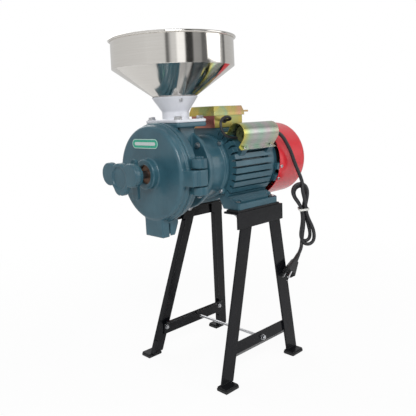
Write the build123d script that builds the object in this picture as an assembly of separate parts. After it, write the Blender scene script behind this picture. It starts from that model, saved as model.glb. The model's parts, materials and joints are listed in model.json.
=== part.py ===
"""Electric grain mill: a disc mill with a hopper, driven by a motor on a trestle stand."""

import math
import os

from build123d import *

os.makedirs("parts", exist_ok=True)

# Driving sizes, in millimetres. X runs from the knob to the fan, Z up, the shaft along X.
SHAFT_Z = 446.0
FOOT_HEIGHT = 90.0
PACKING = 3.5
RUN = 0.05
SEAM = 0.3
REACH = 300.0

BAR_X0 = -25.0
BAR_X1 = 125.0
BAR_Y = 97.0
BAR_DEPTH = 35.0
BAR_SHELF = 40.0
ANGLE_WALL = 4.0
TRESTLE_DROP = 307.5
TRESTLE_SPLAY = 23.0
LEG_WIDTH = 35.0
LEG_LIP = 12.0
FRONT_LEG_TOP = 5.0
FRONT_LEG_FOOT = -94.0
REAR_LEG_TOP = 102.0
REAR_LEG_FOOT = 128.0
FRONT_PAD = -101.0
REAR_PAD = 123.0
PAD_HEIGHT = 7.0
FOOT_PLATE = 3.0
PAD_X = 35.0
PAD_Y0 = 111.0
PAD_Y1 = 136.0
BRACE_DROP = 254.2
BRACE_LEAN = 40.0
BRACE_FACE = 24.0
BRACE_LIP = 13.0
BRACE_WALL = 3.0
BRACE_LAP = 15.0
BRACE_BOLT_R = 2.5
BLIND_SKIN = 1.0
TIE_X = 30.5
TIE_R = 3.0

MOTOR_X0 = -15.0
MOTOR_X1 = 125.0
MOTOR_BORE = 65.0
MOTOR_ROOT = 76.0
MOTOR_FIN = 87.5
FIN_WALL = 11.0
FIN_COUNT = 36
FOOT_X0 = -13.0
FOOT_X1 = 116.0
FOOT_Y = 90.0
FOOT_PLATE_H = 10.0
FOOT_RIM_H = 13.0
FOOT_RIM = 4.0
FOOT_TROUGH = 8.0
FOOT_RIBS = 7
FOOT_RIB_RISE = 1.6
SLOPE_FOOT = (78.0, 16.0)
SLOPE_TOP = (48.0, 30.0)
FOOT_BOLT_X0 = -2.0
FOOT_BOLT_X1 = 107.5
FOOT_BOLT_Y = 75.0
FOOT_BOLT_R = 4.0
CORE_X0 = 15.0
CORE_X1 = 90.0
STATOR_SLOTS = 24
WINDING_FRONT = 22.0
WINDING_REAR = 18.0
AIR_GAP = 0.5
ROTOR_R = 32.0
SHAFT_R = 12.0
BEARING_R = 26.0
BEARING_W = 15.0
FRONT_BEARING_X = -45.0
REAR_BEARING_X = 116.0
FAN_X0 = 146.0
FAN_X1 = 176.0
FAN_R = 72.0
COVER_X0 = 135.0
COVER_X1 = 247.0
COVER_R = 85.5
COVER_WALL = 1.2
COVER_DOME = 18.0

CAP_ANGLE = 36.7
CAP_X0 = -7.0
CAP_X1 = 107.0
CAP_SEAT = 84.7
CAP_SHIFT = -24.9
CAP_WIDTH = 44.0
CAP_FLANGE = 60.0
CAP_HEIGHT = 42.0
CAP_WALL = 1.5
CAP_CAN_R = 18.0
CAN_X0 = 13.0
CAN_LENGTH = 58.0

BOX_X0 = -21.0
BOX_X1 = 67.0
BOX_Y = 34.0
BOX_Z0 = 528.0
BOX_HEIGHT = 29.0
BOX_WALL = 2.0
LID_LIP = 3.5
LID_WALL = 3.0
LID_SCREW_INSET = 7.0
LEAD_HOLE_R = 10.0
LID_HEIGHT = 16.0
LID_DRAFT = 4.0

FLANGE_X0 = -87.0
FLANGE_X1 = -77.0
FLANGE_R = 82.0
BELL_FLANGE = 7.0
BOLT_ANGLE = 45.0
BARREL_R = 46.0
FEED_R = 24.5
PARTING_X = -152.0
DRUM_X1 = -130.0
DRUM_R = 99.5
DRUM_WAIST = 95.0
DRUM_RING = 7.0
DRUM_CAVITY = 88.0
DRUM_BACK = 6.0
DOOR_X0 = -173.4
DOOR_R = 98.4
DOOR_DOME = 94.5
DOOR_RING = 6.0
DOOR_ROUND = 7.0
DOOR_SKIN = 8.0
BOSS_X0 = -187.0
BOSS_R = 30.0
BUSH_R = 19.0
SPINDLE_R = 8.0
SPINDLE_END = -242.0

DISC_R = 55.0
DISC_T = 9.0
DISC_GAP = 0.6
DISC_TOOTH = 1.6
AUGER_R = 22.0
AUGER_HUB = 15.0
AUGER_PITCH = 22.0
FLIGHT_WALL = 3.5

SPOUT_Y = 27.0
SPOUT_Z0 = 318.0
SPOUT_Z1 = 360.0
SPOUT_WALL = 3.0
SPOUT_FRONT = -170.7
SPOUT_REAR_TOP = -127.0
SPOUT_REAR_FOOT = -137.0
SPOUT_GAP = 2.0

HINGE_X = -141.5
HINGE_Y = 110.0
HINGE_R = 15.0
HINGE_PIN_R = 5.0
KNUCKLE_GAP = 2.0
MIDDLE_Z0 = 427.0
MIDDLE_Z1 = 457.0
OUTER_KNUCKLE = 18.0

CLAMP_Y = 116.0
CLAMP_R = 5.0
CLAMP_PIN_R = 4.0
CLAMP_LENGTH = 50.0
CLAMP_EAR = 26.0
CLAMP_EAR_TIP = 8.0
CLAMP_EAR_Z = 14.0
CLAMP_SLOT_GAP = 1.5

KNOB_X0 = -247.0
KNOB_PLATE = 12.0
KNOB_BARREL_X1 = -215.0
KNOB_BARREL_R = 20.0
KNOB_DISC_R = 28.0
KNOB_EAR_R = 22.0
KNOB_EAR_Y = 32.0
KNOB_EAR_Z = 6.0
KNOB_FOOT_R = 20.0
KNOB_FOOT_Z = -14.0
LOCK_X0 = -213.0
LOCK_X1 = -205.0
LOCK_R = 21.5

NECK_HALF_Y = 35.0
NECK_WALL = 6.0
INLET_FLANGE_X = 40.0
INLET_FLANGE_Y = 50.0
INLET_FLANGE_H = 9.0
INLET_TOP = 543.0
INLET_BOLT_X = 59.7
INLET_BOLT_Y = 79.9
FUNNEL_PLATE = 6.0
THROAT_R = 27.0
THROAT_Z = 565.0
CONE_R = 47.0
CONE_Z = 594.0
FUNNEL_WALL = 3.0
HOPPER_R = 122.5
HOPPER_Z0 = 650.0
HOPPER_Z1 = 707.0
HOPPER_WALL = 1.0
HOPPER_BEAD = 2.4
HOPPER_SCREW_DROP = 7.0
HOPPER_SCREW_TURN = 245.0
COLLAR_DEPTH = 10.0

M4_HEAD_R = 3.8
M4_HEAD_H = 2.4
M4_R = 2.0
FUNNEL_BOLT_R = 4.0
HOUSING_BOLT_R = 3.0

LABEL_Y = 8.0
LABEL_Z = 505.0
LABEL_T = 0.8
LABEL_HALF_Y = 39.5
LABEL_HALF_Z = 9.4
LABEL_ROUND = 9.0

CORD_R = 4.15
CORD_HOLE_R = 6.5
CORD_HEIGHT = 20.0
WIRE_R = 2.8
WIRE_HOLE_R = 4.6
WIRE_X = 10.0
WIRE_Z = 543.0
WIRE_ROUTE = [(10, -30, 543), (10, -50, 543), (-24, -56, 540), (-26, -66, 513), (6, -72, 506)]
CORD_START = 76.0
CORD_BEND = 135.0
CORD_FALL = [(158, -95, 474), (174, -97, 437), (190, -107, 394)]
TAIL_ROUTE = [(198, -97, 250), (189.2, -102.1, 233.8), (172, -106, 224.4)]
HANK_CENTRE = (197, -103.4, 328.8)
HANK_ACROSS = (0.713, -0.70, 0.075)
HANK_DEPTH = (-0.699, -0.713, -0.048)
HANK_TOP = 66.0
HANK_FOOT = 94.0
HANK_UPPER = (-28.0, 17.0)
HANK_LOWER = (-15.0, 24.4)
HANK_WAIST = 10.0
HANK_THICK = 25.0
TIE_WALL = 0.8
TIE_BAND = 5.0
PLUG_ACROSS = (0.5, -0.49, -0.7)
RELIEF_LENGTH = 26.0
PLUG_LENGTH = 38.0
PLUG_WIDE = 27.0
PLUG_DEEP = 24.0
BLADE_LENGTH = 17.0
BLADE_HALF = 6.35
BLADE_EARTH = 11.9

# Sizes that follow from those above.
BOX_Z1 = BOX_Z0 + BOX_HEIGHT
LID_Z1 = BOX_Z1 + LID_HEIGHT
FUNNEL_FLARE = (CONE_R - THROAT_R) / (CONE_Z - THROAT_Z)
BAR_TOP = SHAFT_Z - FOOT_HEIGHT - PACKING
BAR_BOTTOM = BAR_TOP - BAR_DEPTH
TRESTLE_LENGTH = math.hypot(BAR_BOTTOM - PAD_HEIGHT, TRESTLE_SPLAY)
BRACE_COS = TRESTLE_DROP / math.hypot(TRESTLE_DROP, TRESTLE_SPLAY)
TIE_Z = BAR_BOTTOM - (BRACE_DROP - 2) * BRACE_COS
TIE_FACE = BAR_Y - 2 * ANGLE_WALL + (BAR_BOTTOM - TIE_Z + 2 * TIE_R) * TRESTLE_SPLAY / TRESTLE_DROP
BELL_BOLT_RING = (MOTOR_BORE + MOTOR_ROOT) / 2
FLANGE_BOLT_RING = 71.5
DISC_BOLT_RING = 40.0
DISC_SEAT_X = DRUM_X1 - DRUM_BACK
AUGER_X0 = DISC_SEAT_X - DISC_T - DISC_GAP
SPINDLE_TIP = AUGER_X0 - DISC_T - SEAM
COVER_SCREW_ANGLES = (188, 208, -8, -28)
UPPER_Z1 = MIDDLE_Z1 + KNUCKLE_GAP + OUTER_KNUCKLE
LOWER_Z0 = MIDDLE_Z0 - SEAM - OUTER_KNUCKLE
FUNNEL_X = -97.0
NECK_X0 = -120.0
NECK_X1 = -78.0
DUCT_HALF_Y = 27.0
KNOB_DISH_R = 21.0
LOCK_UP = 32.0
LOCK_DOWN = 46.0
CLAMP_NUT_AT = 30.0
AUGER_FLIGHT = AUGER_R - AUGER_HUB
PLUG_DIRECTION = Vector(*TAIL_ROUTE[-1]) - Vector(*TAIL_ROUTE[-2])
STANDING = (Align.CENTER, Align.CENTER, Align.MIN)


def block(x0, x1, y0, y1, z0, z1):
    """A box between two corners."""
    centre = Pos((x0 + x1) / 2, (y0 + y1) / 2, (z0 + z1) / 2)
    return centre * Box(x1 - x0, y1 - y0, z1 - z0)


def shaft_rod(x0, x1, radius):
    """A cylinder on the shaft line."""
    return Pos((x0 + x1) / 2, 0, SHAFT_Z) * Rot(0, 90, 0) * Cylinder(radius, x1 - x0)


def post(x, y, z0, z1, radius):
    """An upright cylinder."""
    return Pos(x, y, (z0 + z1) / 2) * Cylinder(radius, z1 - z0)


def mirrored(shape):
    """The same shape on the far side."""
    return mirror(shape, about=Plane.XZ)


def aimed(origin, direction):
    """A plane at a point with its normal along a direction."""
    return Plane(origin=origin, z_dir=direction)


def ring_points(radius, count, start):
    """Points round the shaft line as (y, z) pairs."""
    points = []
    for index in range(count):
        angle = math.radians(start + 360 * index / count)
        points.append((radius * math.cos(angle), SHAFT_Z + radius * math.sin(angle)))
    return points


def hex_bolt(radius, length):
    """A hex bolt with its washer, seated on the plane it is placed on."""
    washer = Pos(0, 0, radius * 0.2) * Cylinder(radius * 2.1, radius * 0.4)
    head = Pos(0, 0, radius * 0.4) * extrude(RegularPolygon(radius * 1.85, 6), radius * 1.3)
    shank = Pos(0, 0, -length / 2) * Cylinder(radius, length)
    return washer + head + shank


def hex_nut(radius, bore):
    """A hex nut with its washer."""
    washer = Pos(0, 0, radius * 0.2) * Cylinder(radius * 2.1, radius * 0.4)
    nut = Pos(0, 0, radius * 0.4) * extrude(RegularPolygon(radius * 1.85, 6), radius * 1.6)
    return washer + nut - Cylinder(bore, radius * 6)


def cross_screw(length):
    """A pan head screw with a crossed recess."""
    head = Pos(0, 0, M4_HEAD_H / 2) * Cylinder(M4_HEAD_R, M4_HEAD_H)
    head = fillet(head.edges().sort_by(Axis.Z)[-1], M4_HEAD_H * 0.5)
    slot = Box(M4_HEAD_R * 1.1, M4_R * 0.35, M4_HEAD_H)
    cross = slot + Rot(0, 0, 90) * slot
    shank = Pos(0, 0, -length / 2) * Cylinder(M4_R, length)
    return head - Pos(0, 0, M4_HEAD_H) * cross + shank


def trestle_plane():
    """The near trestle's outer face: X along the bar, Z up the leg and Y inward."""
    up_the_leg = (0, TRESTLE_SPLAY, TRESTLE_DROP)
    return Plane(origin=(0, ANGLE_WALL - BAR_Y, BAR_BOTTOM), x_dir=(1, 0, 0), z_dir=up_the_leg)


def bar_bolt_holes(y):
    """The bores for the motor's foot bolts through one bar."""
    holes = post(FOOT_BOLT_X0, y, BAR_BOTTOM, BAR_TOP + 1, FOOT_BOLT_R)
    return holes + post(FOOT_BOLT_X1, y, BAR_BOTTOM, BAR_TOP + 1, FOOT_BOLT_R)


def top_bar():
    """The near angle bar that the motor's feet stand on."""
    face = block(BAR_X0, BAR_X1, -BAR_Y, -BAR_Y + ANGLE_WALL, BAR_BOTTOM, BAR_TOP)
    shelf = block(BAR_X0, BAR_X1, -BAR_Y, -BAR_Y + BAR_SHELF, BAR_TOP - ANGLE_WALL, BAR_TOP)
    bar = face + shelf
    return bar - bar_bolt_holes(-FOOT_BOLT_Y)


def leg_axis(top_x, foot_x):
    """How far a leg's centre line moves along X for each millimetre of drop."""
    return (foot_x - top_x) / TRESTLE_LENGTH


def leg_strip(top_x, foot_x, start, width, depth):
    """One flange of a leg, cut long at both ends, in the trestle's own frame."""
    slope = leg_axis(top_x, foot_x)
    high = 2 * LEG_WIDTH
    low = -TRESTLE_LENGTH - LEG_WIDTH
    top = top_x - slope * high
    foot = top_x - slope * low
    with_corners = Polyline(
        (top + start, high),
        (top + start + width, high),
        (foot + start + width, low),
        (foot + start, low),
        close=True,
    )
    return extrude(Plane.XZ * make_face(with_corners), amount=-depth)


def leg(top_x, foot_x, pad_x, lip_side):
    """A near leg: an angle bar under the bar's shelf, its lip turned in, on a small plate."""
    face = leg_strip(top_x, foot_x, -LEG_WIDTH / 2, LEG_WIDTH, ANGLE_WALL)
    lip_start = -LEG_WIDTH / 2 if lip_side < 0 else LEG_WIDTH / 2 - ANGLE_WALL
    lip = leg_strip(top_x, foot_x, lip_start, ANGLE_WALL, LEG_LIP)
    notch = block(-REACH, REACH, ANGLE_WALL, LEG_LIP + 1, -BRACE_DROP - BRACE_FACE, -BRACE_DROP + BRACE_FACE)
    coped = block(-REACH, REACH, ANGLE_WALL, LEG_LIP + 1, 0, BAR_DEPTH)
    shape = trestle_plane().location * (face + (lip - notch - coped))
    room = block(-REACH, REACH, -REACH, 0, PAD_HEIGHT, BAR_TOP - ANGLE_WALL)
    plate = block(pad_x - PAD_X / 2, pad_x + PAD_X / 2, -PAD_Y1, -PAD_Y0, PAD_HEIGHT, PAD_HEIGHT + FOOT_PLATE)
    return (shape & room) + plate - brace_bolt_axes()


def leg_x_at(top_x, foot_x, drop):
    """A leg's centre line at a distance down the trestle."""
    return top_x + leg_axis(top_x, foot_x) * drop


def brace_ends():
    """Where the brace starts and ends, lapped on the insides of the two near legs."""
    x0 = leg_x_at(FRONT_LEG_TOP, FRONT_LEG_FOOT, BRACE_DROP) + LEG_WIDTH / 2 - BRACE_LAP
    x1 = leg_x_at(REAR_LEG_TOP, REAR_LEG_FOOT, BRACE_DROP) - LEG_WIDTH / 2 + BRACE_LAP
    return x0, x1


def brace_bolt_points():
    """Where the brace is bolted to the two near legs, in the trestle's frame."""
    x0, x1 = brace_ends()
    return [(x0 + BRACE_LAP / 2, -BRACE_DROP), (x1 - BRACE_LAP / 2, -BRACE_DROP)]


def brace_bolt_axes():
    """The bolt holes through the brace and blind into the near legs."""
    holes = []
    for x, z in brace_bolt_points():
        hole = Cylinder(BRACE_BOLT_R, LEG_WIDTH, align=STANDING)
        holes.append(Pos(x, BLIND_SKIN, z) * Rot(-90, 0, 0) * hole)
    return trestle_plane().location * (holes[0] + holes[1])


def brace(lip_side):
    """The brace across the near legs, with one lip bent inward."""
    x0, x1 = brace_ends()
    half = BRACE_FACE / 2
    edge = lip_side * half
    lean = math.radians(BRACE_LEAN)
    shift = -lip_side * BRACE_LIP * math.cos(lean) / 2
    tip_y = ANGLE_WALL + BRACE_LIP * math.sin(lean)
    tip_z = edge + lip_side * BRACE_LIP * math.cos(lean)
    profile = Polyline(
        (ANGLE_WALL, -edge),
        (ANGLE_WALL, edge),
        (tip_y, tip_z),
        (tip_y + BRACE_WALL * math.cos(lean), tip_z - lip_side * BRACE_WALL * math.sin(lean)),
        (ANGLE_WALL + BRACE_WALL, edge - lip_side * BRACE_WALL * 0.35),
        (ANGLE_WALL + BRACE_WALL, -edge),
        close=True,
    )
    bar = extrude(Plane.YZ * make_face(profile), amount=x1 - x0)
    bar = trestle_plane().location * (Pos(x0, 0, shift - BRACE_DROP) * bar)
    rod_hole = Pos(TIE_X, 0, TIE_Z) * Rot(90, 0, 0) * Cylinder(TIE_R, REACH)
    return bar - brace_bolt_axes() - rod_hole


def stand_bolts():
    """The bolts from inside through both braces into the legs."""
    bolts = []
    grip = ANGLE_WALL + BRACE_WALL
    for x, z in brace_bolt_points():
        bolt = aimed((x, grip, z), (0, 1, 0)) * hex_bolt(BRACE_BOLT_R, grip - BLIND_SKIN)
        bolts.append(trestle_plane().location * bolt)
    return Compound(children=bolts + [mirrored(bolt) for bolt in bolts])


def tie_rod():
    """The threaded rod that ties the two braces together."""
    return Pos(TIE_X, 0, TIE_Z) * Rot(90, 0, 0) * Cylinder(TIE_R, 2 * (TIE_FACE + 8))


def tie_nuts():
    """The nuts on the outside and the inside of each brace."""
    outer = Plane(origin=(TIE_X, -TIE_FACE, TIE_Z), z_dir=(0, -1, 0)) * hex_nut(TIE_R, TIE_R)
    return Compound(children=[outer, mirrored(outer)])


def rubber_feet():
    """Four rubber pads under the legs."""
    pads = []
    for x in (FRONT_PAD, REAR_PAD):
        pad = block(x - PAD_X / 2 - 1, x + PAD_X / 2 + 1, -PAD_Y1 - 1, -PAD_Y0 + 1, 0, PAD_HEIGHT)
        pad = chamfer(pad.edges().group_by(Axis.Z)[0], 1.5)
        pads.append(pad)
        pads.append(mirrored(pad))
    return Compound(children=pads)


def packing_strips():
    """The rubber strips between the bars and the motor's feet."""
    strip = block(BAR_X0 + 6, BAR_X1 - 6, -BAR_Y + 5, -BAR_Y + BAR_SHELF - 2, BAR_TOP, BAR_TOP + PACKING)
    holes = post(FOOT_BOLT_X0, -FOOT_BOLT_Y, BAR_TOP - 1, BAR_TOP + PACKING + 1, FOOT_BOLT_R)
    holes = holes + post(FOOT_BOLT_X1, -FOOT_BOLT_Y, BAR_TOP - 1, BAR_TOP + PACKING + 1, FOOT_BOLT_R)
    strip = strip - holes
    return Compound(children=[strip, mirrored(strip)])


def motor_foot_bolts():
    """Bolts through the feet and bars, with nuts under the bars."""
    seat = BAR_TOP + PACKING + FOOT_PLATE_H
    grip = seat - BAR_TOP + ANGLE_WALL
    solids = []
    for x in (FOOT_BOLT_X0, FOOT_BOLT_X1):
        for y in (-FOOT_BOLT_Y, FOOT_BOLT_Y):
            bolt = Pos(x, y, seat) * hex_bolt(FOOT_BOLT_R, grip + 10)
            nut = aimed((x, y, BAR_TOP - ANGLE_WALL), (0, 0, -1)) * hex_nut(FOOT_BOLT_R, FOOT_BOLT_R)
            solids = solids + [bolt, nut]
    return Compound(children=solids)


def foot_outline():
    """A foot's section: rim, saw-toothed slope up to the body, and flat sole."""
    base = BAR_TOP + PACKING
    points = [(-FOOT_Y, base), (-FOOT_Y, base + FOOT_RIM_H)]
    for index in range(FOOT_RIBS):
        share = index / FOOT_RIBS
        y = share * (SLOPE_FOOT[0] - SLOPE_TOP[0]) - SLOPE_FOOT[0]
        z = base + SLOPE_FOOT[1] + share * (SLOPE_TOP[1] - SLOPE_FOOT[1])
        points = points + [(y, z), (y, z + FOOT_RIB_RISE)]
    inner = [(-SLOPE_TOP[0], base + SLOPE_TOP[1]), (-FOOT_Y / 3, base + SLOPE_TOP[1]), (-FOOT_Y / 2, base)]
    return make_face(Polyline(*(points + inner), close=True))


def motor_feet():
    """The feet cast with the frame: a sole, a ribbed slope up to the body and a trough between the bolts."""
    base = BAR_TOP + PACKING
    foot = Pos(FOOT_X0, 0, 0) * extrude(Plane.YZ * foot_outline(), amount=FOOT_X1 - FOOT_X0)
    foot = fillet(foot.edges().filter_by(Axis.Z).sort_by(Axis.Y)[:2], FOOT_RIM)
    trough_y0 = FOOT_RIM - FOOT_Y
    foot = foot - block(FOOT_BOLT_X0, FOOT_BOLT_X1, trough_y0, -SLOPE_FOOT[0], base + FOOT_TROUGH, base + 40)
    for x in (FOOT_BOLT_X0, FOOT_BOLT_X1):
        spot_face = post(x, -FOOT_BOLT_Y, base + FOOT_PLATE_H, base + 40, FOOT_BOLT_R * 2.3)
        foot = foot - spot_face - post(x, -FOOT_BOLT_Y, base - 1, base + 20, FOOT_BOLT_R)
    return foot + mirrored(foot)


def fin_ring():
    """The cooling fins round the frame, leaving room for the box and the feet."""
    fins = []
    depth = MOTOR_FIN - MOTOR_ROOT + 2
    for index in range(FIN_COUNT):
        angle = 360 * (index + 0.5) / FIN_COUNT
        upright = abs((angle - 90 + 180) % 360 - 180)
        downward = abs((angle - 270 + 180) % 360 - 180)
        if upright > 24 and downward > 40:
            fin = Pos(0, 0, MOTOR_FIN - depth / 2) * Box(MOTOR_X1 - 20 - MOTOR_X0, FIN_WALL, depth)
            place = Pos((MOTOR_X0 + MOTOR_X1 - 20) / 2, 0, SHAFT_Z) * Rot(angle - 90, 0, 0)
            fins.append(place * fin)
    return fins


def motor_frame():
    """The finned frame with feet, the box's seat and the capacitor cover's saddle."""
    body = shaft_rod(MOTOR_X0, MOTOR_X1, MOTOR_ROOT)
    for fin in fin_ring():
        body = body + fin
    seat = block(MOTOR_X0, BOX_X1 - 2, -BOX_Y + 2, BOX_Y - 2, SHAFT_Z + 60, BOX_Z0)
    room = cap_place() * block(CAP_X0 - 9, CAP_X1 + 2, -40, 40, CAP_SEAT, CAP_SEAT + 30)
    body = body + seat + motor_feet() - room
    for x in (CAP_X0 + 6, CAP_X1 - 22):
        saddle = block(x, x + 16, -CAP_FLANGE / 2 + 1, CAP_FLANGE / 2 - 1, MOTOR_ROOT - 21, CAP_SEAT)
        body = body + cap_place() * saddle
    for x, y in cap_screw_points():
        body = body - cap_place() * post(x, y, CAP_SEAT - 9, CAP_SEAT + 1, M4_R)
    bore = shaft_rod(MOTOR_X0 - 1, MOTOR_X1 + 1, MOTOR_BORE)
    wire_hole = post((BOX_X0 + BOX_X1) / 2, 0, SHAFT_Z + 50, BOX_Z0 + 1, LEAD_HOLE_R)
    return body - bore - wire_hole - tapped_holes(MOTOR_X0) - tapped_holes(MOTOR_X1)


def tapped_holes(x):
    """Four blind holes for the end bell bolts in one end of the frame."""
    holes = []
    for y, z in ring_points(BELL_BOLT_RING, 4, BOLT_ANGLE):
        holes.append(Pos(x, y, z) * Rot(0, 90, 0) * Cylinder(M4_R, 24))
    return Compound(children=holes)


def end_bell_front():
    """The mill-side end bell: mounting flange, barrel and the front bearing's seat."""
    flange = shaft_rod(FLANGE_X1, FLANGE_X1 + BELL_FLANGE, FLANGE_R - 4)
    barrel = shaft_rod(FLANGE_X1, MOTOR_X0, MOTOR_BORE)
    rim = shaft_rod(MOTOR_X0 - 9, MOTOR_X0, MOTOR_ROOT - 6)
    body = flange + barrel + rim
    for y, z in ring_points(BELL_BOLT_RING, 4, BOLT_ANGLE):
        body = body + Pos(MOTOR_X0 - 4.5, y, z) * Rot(0, 90, 0) * Cylinder(7, 9)
    body = body + shaft_rod(MOTOR_X0, MOTOR_X0 + 5, MOTOR_BORE)
    hollow = shaft_rod(FRONT_BEARING_X + BEARING_W / 2, MOTOR_X0 + 6, MOTOR_BORE - 7)
    seat = shaft_rod(FRONT_BEARING_X - BEARING_W / 2, FRONT_BEARING_X + BEARING_W / 2 + 1, BEARING_R)
    passage = shaft_rod(FLANGE_X1 - 1, MOTOR_X0, SHAFT_R + 2)
    body = body - hollow - seat - passage
    for y, z in ring_points(BELL_BOLT_RING, 4, BOLT_ANGLE):
        body = body - Pos(MOTOR_X0 - 4.5, y, z) * Rot(0, 90, 0) * Cylinder(M4_R, 20)
    for y, z in ring_points(FLANGE_BOLT_RING, 4, BOLT_ANGLE):
        body = body - Pos(FLANGE_X1, y, z) * Rot(0, 90, 0) * Cylinder(HOUSING_BOLT_R, 20)
    return body


def end_bell_rear():
    """The fan-side end bell with the rear bearing's seat and lugs for the fan cover."""
    body = shaft_rod(MOTOR_X1, MOTOR_X1 + 12, MOTOR_ROOT - 2)
    body = body + shaft_rod(MOTOR_X1 - 5, MOTOR_X1, MOTOR_BORE)
    body = body + shaft_rod(REAR_BEARING_X - 2, MOTOR_X1, BEARING_R + 8)
    for angle in COVER_SCREW_ANGLES:
        lug = block(COVER_X0 - 8, COVER_X0 + 10, -7, 7, MOTOR_ROOT - 14, COVER_R)
        body = body + Pos(0, 0, SHAFT_Z) * Rot(angle - 90, 0, 0) * lug
    body = body & shaft_rod(MOTOR_X0, COVER_X1, COVER_R - COVER_WALL - SEAM)
    seat = shaft_rod(REAR_BEARING_X - 5, REAR_BEARING_X + BEARING_W / 2, BEARING_R)
    passage = shaft_rod(REAR_BEARING_X, MOTOR_X1 + 20, SHAFT_R + 2)
    body = body - seat - passage
    for y, z in ring_points(BELL_BOLT_RING, 4, BOLT_ANGLE):
        body = body - Pos(MOTOR_X1 + 6, y, z) * Rot(0, 90, 0) * Cylinder(M4_R, 20)
    for angle in COVER_SCREW_ANGLES:
        hole = Pos(COVER_X0 + 5, 0, COVER_R) * Cylinder(M4_R, 20)
        body = body - Pos(0, 0, SHAFT_Z) * Rot(angle - 90, 0, 0) * hole
    return body


def end_bell_bolts():
    """Four bolts in each end bell."""
    bolts = []
    for y, z in ring_points(BELL_BOLT_RING, 4, BOLT_ANGLE):
        bolts.append(aimed((MOTOR_X0 - 9, y, z), (-1, 0, 0)) * hex_bolt(M4_R, 20))
        bolts.append(aimed((MOTOR_X1 + 12, y, z), (1, 0, 0)) * hex_bolt(M4_R, 23))
    return Compound(children=bolts)


def stator_core():
    """The laminated stator, with slots for its windings."""
    core = shaft_rod(CORE_X0, CORE_X1, MOTOR_BORE) - shaft_rod(CORE_X0 - 1, CORE_X1 + 1, ROTOR_R + AIR_GAP)
    slot = block(CORE_X0 - 1, CORE_X1 + 1, -2, 2, ROTOR_R + 4, ROTOR_R + 20)
    slots = []
    for index in range(STATOR_SLOTS):
        slots.append(Pos(0, 0, SHAFT_Z) * Rot(360 * index / STATOR_SLOTS, 0, 0) * slot)
    return core - slots


def stator_windings():
    """The end turns on both faces of the stator, as two padded rings."""
    rings = []
    for x0, x1 in ((CORE_X0 - WINDING_FRONT, CORE_X0), (CORE_X1, CORE_X1 + WINDING_REAR)):
        ring = shaft_rod(x0, x1, ROTOR_R + 21) - shaft_rod(x0 - 1, x1 + 1, ROTOR_R + 3)
        rings.append(ring)
    return Compound(children=rings)


def rotor_core():
    """The cage rotor pressed on the shaft."""
    core = shaft_rod(CORE_X0, CORE_X1, ROTOR_R)
    rings = shaft_rod(CORE_X0 - 8, CORE_X1 + 8, ROTOR_R - 5)
    return core + rings - shaft_rod(CORE_X0 - 20, CORE_X1 + 20, SHAFT_R)


def motor_shaft():
    """The one shaft through motor, auger and rotating disc."""
    rod = shaft_rod(AUGER_X0 - DISC_T, FAN_X1 + 6, SHAFT_R)
    return chamfer(rod.edges(), 1)


def shaft_bearings():
    """Two ball bearings as plain rings with shields."""
    rings = []
    for x in (FRONT_BEARING_X, REAR_BEARING_X):
        ring = shaft_rod(x - BEARING_W / 2, x + BEARING_W / 2, BEARING_R)
        ring = ring - shaft_rod(x - BEARING_W, x + BEARING_W, SHAFT_R + RUN)
        rings.append(ring)
    return Compound(children=rings)


def cooling_fan():
    """The plastic fan on the shaft's rear end."""
    hub = shaft_rod(FAN_X0, FAN_X1, SHAFT_R + 8)
    plate = shaft_rod(FAN_X0, FAN_X0 + 3, FAN_R)
    fan = hub + plate
    blade = block(FAN_X0, FAN_X1, -1.5, 1.5, SHAFT_R + 4, FAN_R)
    for index in range(8):
        fan = fan + Pos(0, 0, SHAFT_Z) * Rot(index * 45, 0, 0) * blade
    return fan - shaft_rod(FAN_X0 - 1, FAN_X1 + 1, SHAFT_R)


def cover_shell(radius, x0, x1, corner):
    """A cup open towards the motor, with a rounded shoulder and a shallow cone for its end."""
    outline = make_face(Polyline((x0, 0), (x0, radius), (x1 - 6, radius - 2), (x1, 0), close=True))
    shoulder = outline.vertices().sort_by(lambda point: point.X + point.Y)[-1]
    outline = fillet(shoulder, corner)
    cup = revolve(outline, axis=Axis.X)
    return Pos(0, 0, SHAFT_Z) * cup


def fan_cover():
    """The pressed fan cover with rings of air slots in its end."""
    outer = cover_shell(COVER_R, COVER_X0, COVER_X1, COVER_DOME)
    inner = cover_shell(COVER_R - COVER_WALL, COVER_X0 - 1, COVER_X1 - COVER_WALL, COVER_DOME - COVER_WALL)
    shell = outer - inner
    slots = []
    for radius, count in ((22, 8), (38, 12), (54, 18)):
        slot = block(COVER_X1 - 30, COVER_X1 + 5, -3, 3, radius - 6, radius + 6)
        for index in range(count):
            slots.append(Pos(0, 0, SHAFT_Z) * Rot(360 * index / count, 0, 0) * slot)
    shell = shell - slots
    for angle in COVER_SCREW_ANGLES:
        hole = Pos(COVER_X0 + 5, 0, COVER_R) * Cylinder(M4_R, 20)
        shell = shell - Pos(0, 0, SHAFT_Z) * Rot(angle - 90, 0, 0) * hole
    return shell


def cover_screws():
    """The same pan head screw in the fan cover, the capacitor cover and the box's lid."""
    screws = []
    for angle in COVER_SCREW_ANGLES:
        screw = Pos(COVER_X0 + 5, 0, COVER_R) * cross_screw(9)
        screws.append(Pos(0, 0, SHAFT_Z) * Rot(angle - 90, 0, 0) * screw)
    for x, y in cap_screw_points():
        screw = Pos(x, y, CAP_SEAT + CAP_WALL) * cross_screw(9)
        screws.append(cap_place() * screw)
    for x, y in lid_screw_points():
        screws.append(Pos(x, y, LID_Z1 - LID_DRAFT) * cross_screw(LID_Z1 - LID_DRAFT - BOX_Z0 - 8))
    return Compound(children=screws)


def cap_place():
    """The capacitor cover's frame: Z away from the shaft line."""
    return Pos(0, 0, SHAFT_Z) * Rot(CAP_ANGLE, 0, 0) * Pos(0, CAP_SHIFT, 0)


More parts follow.
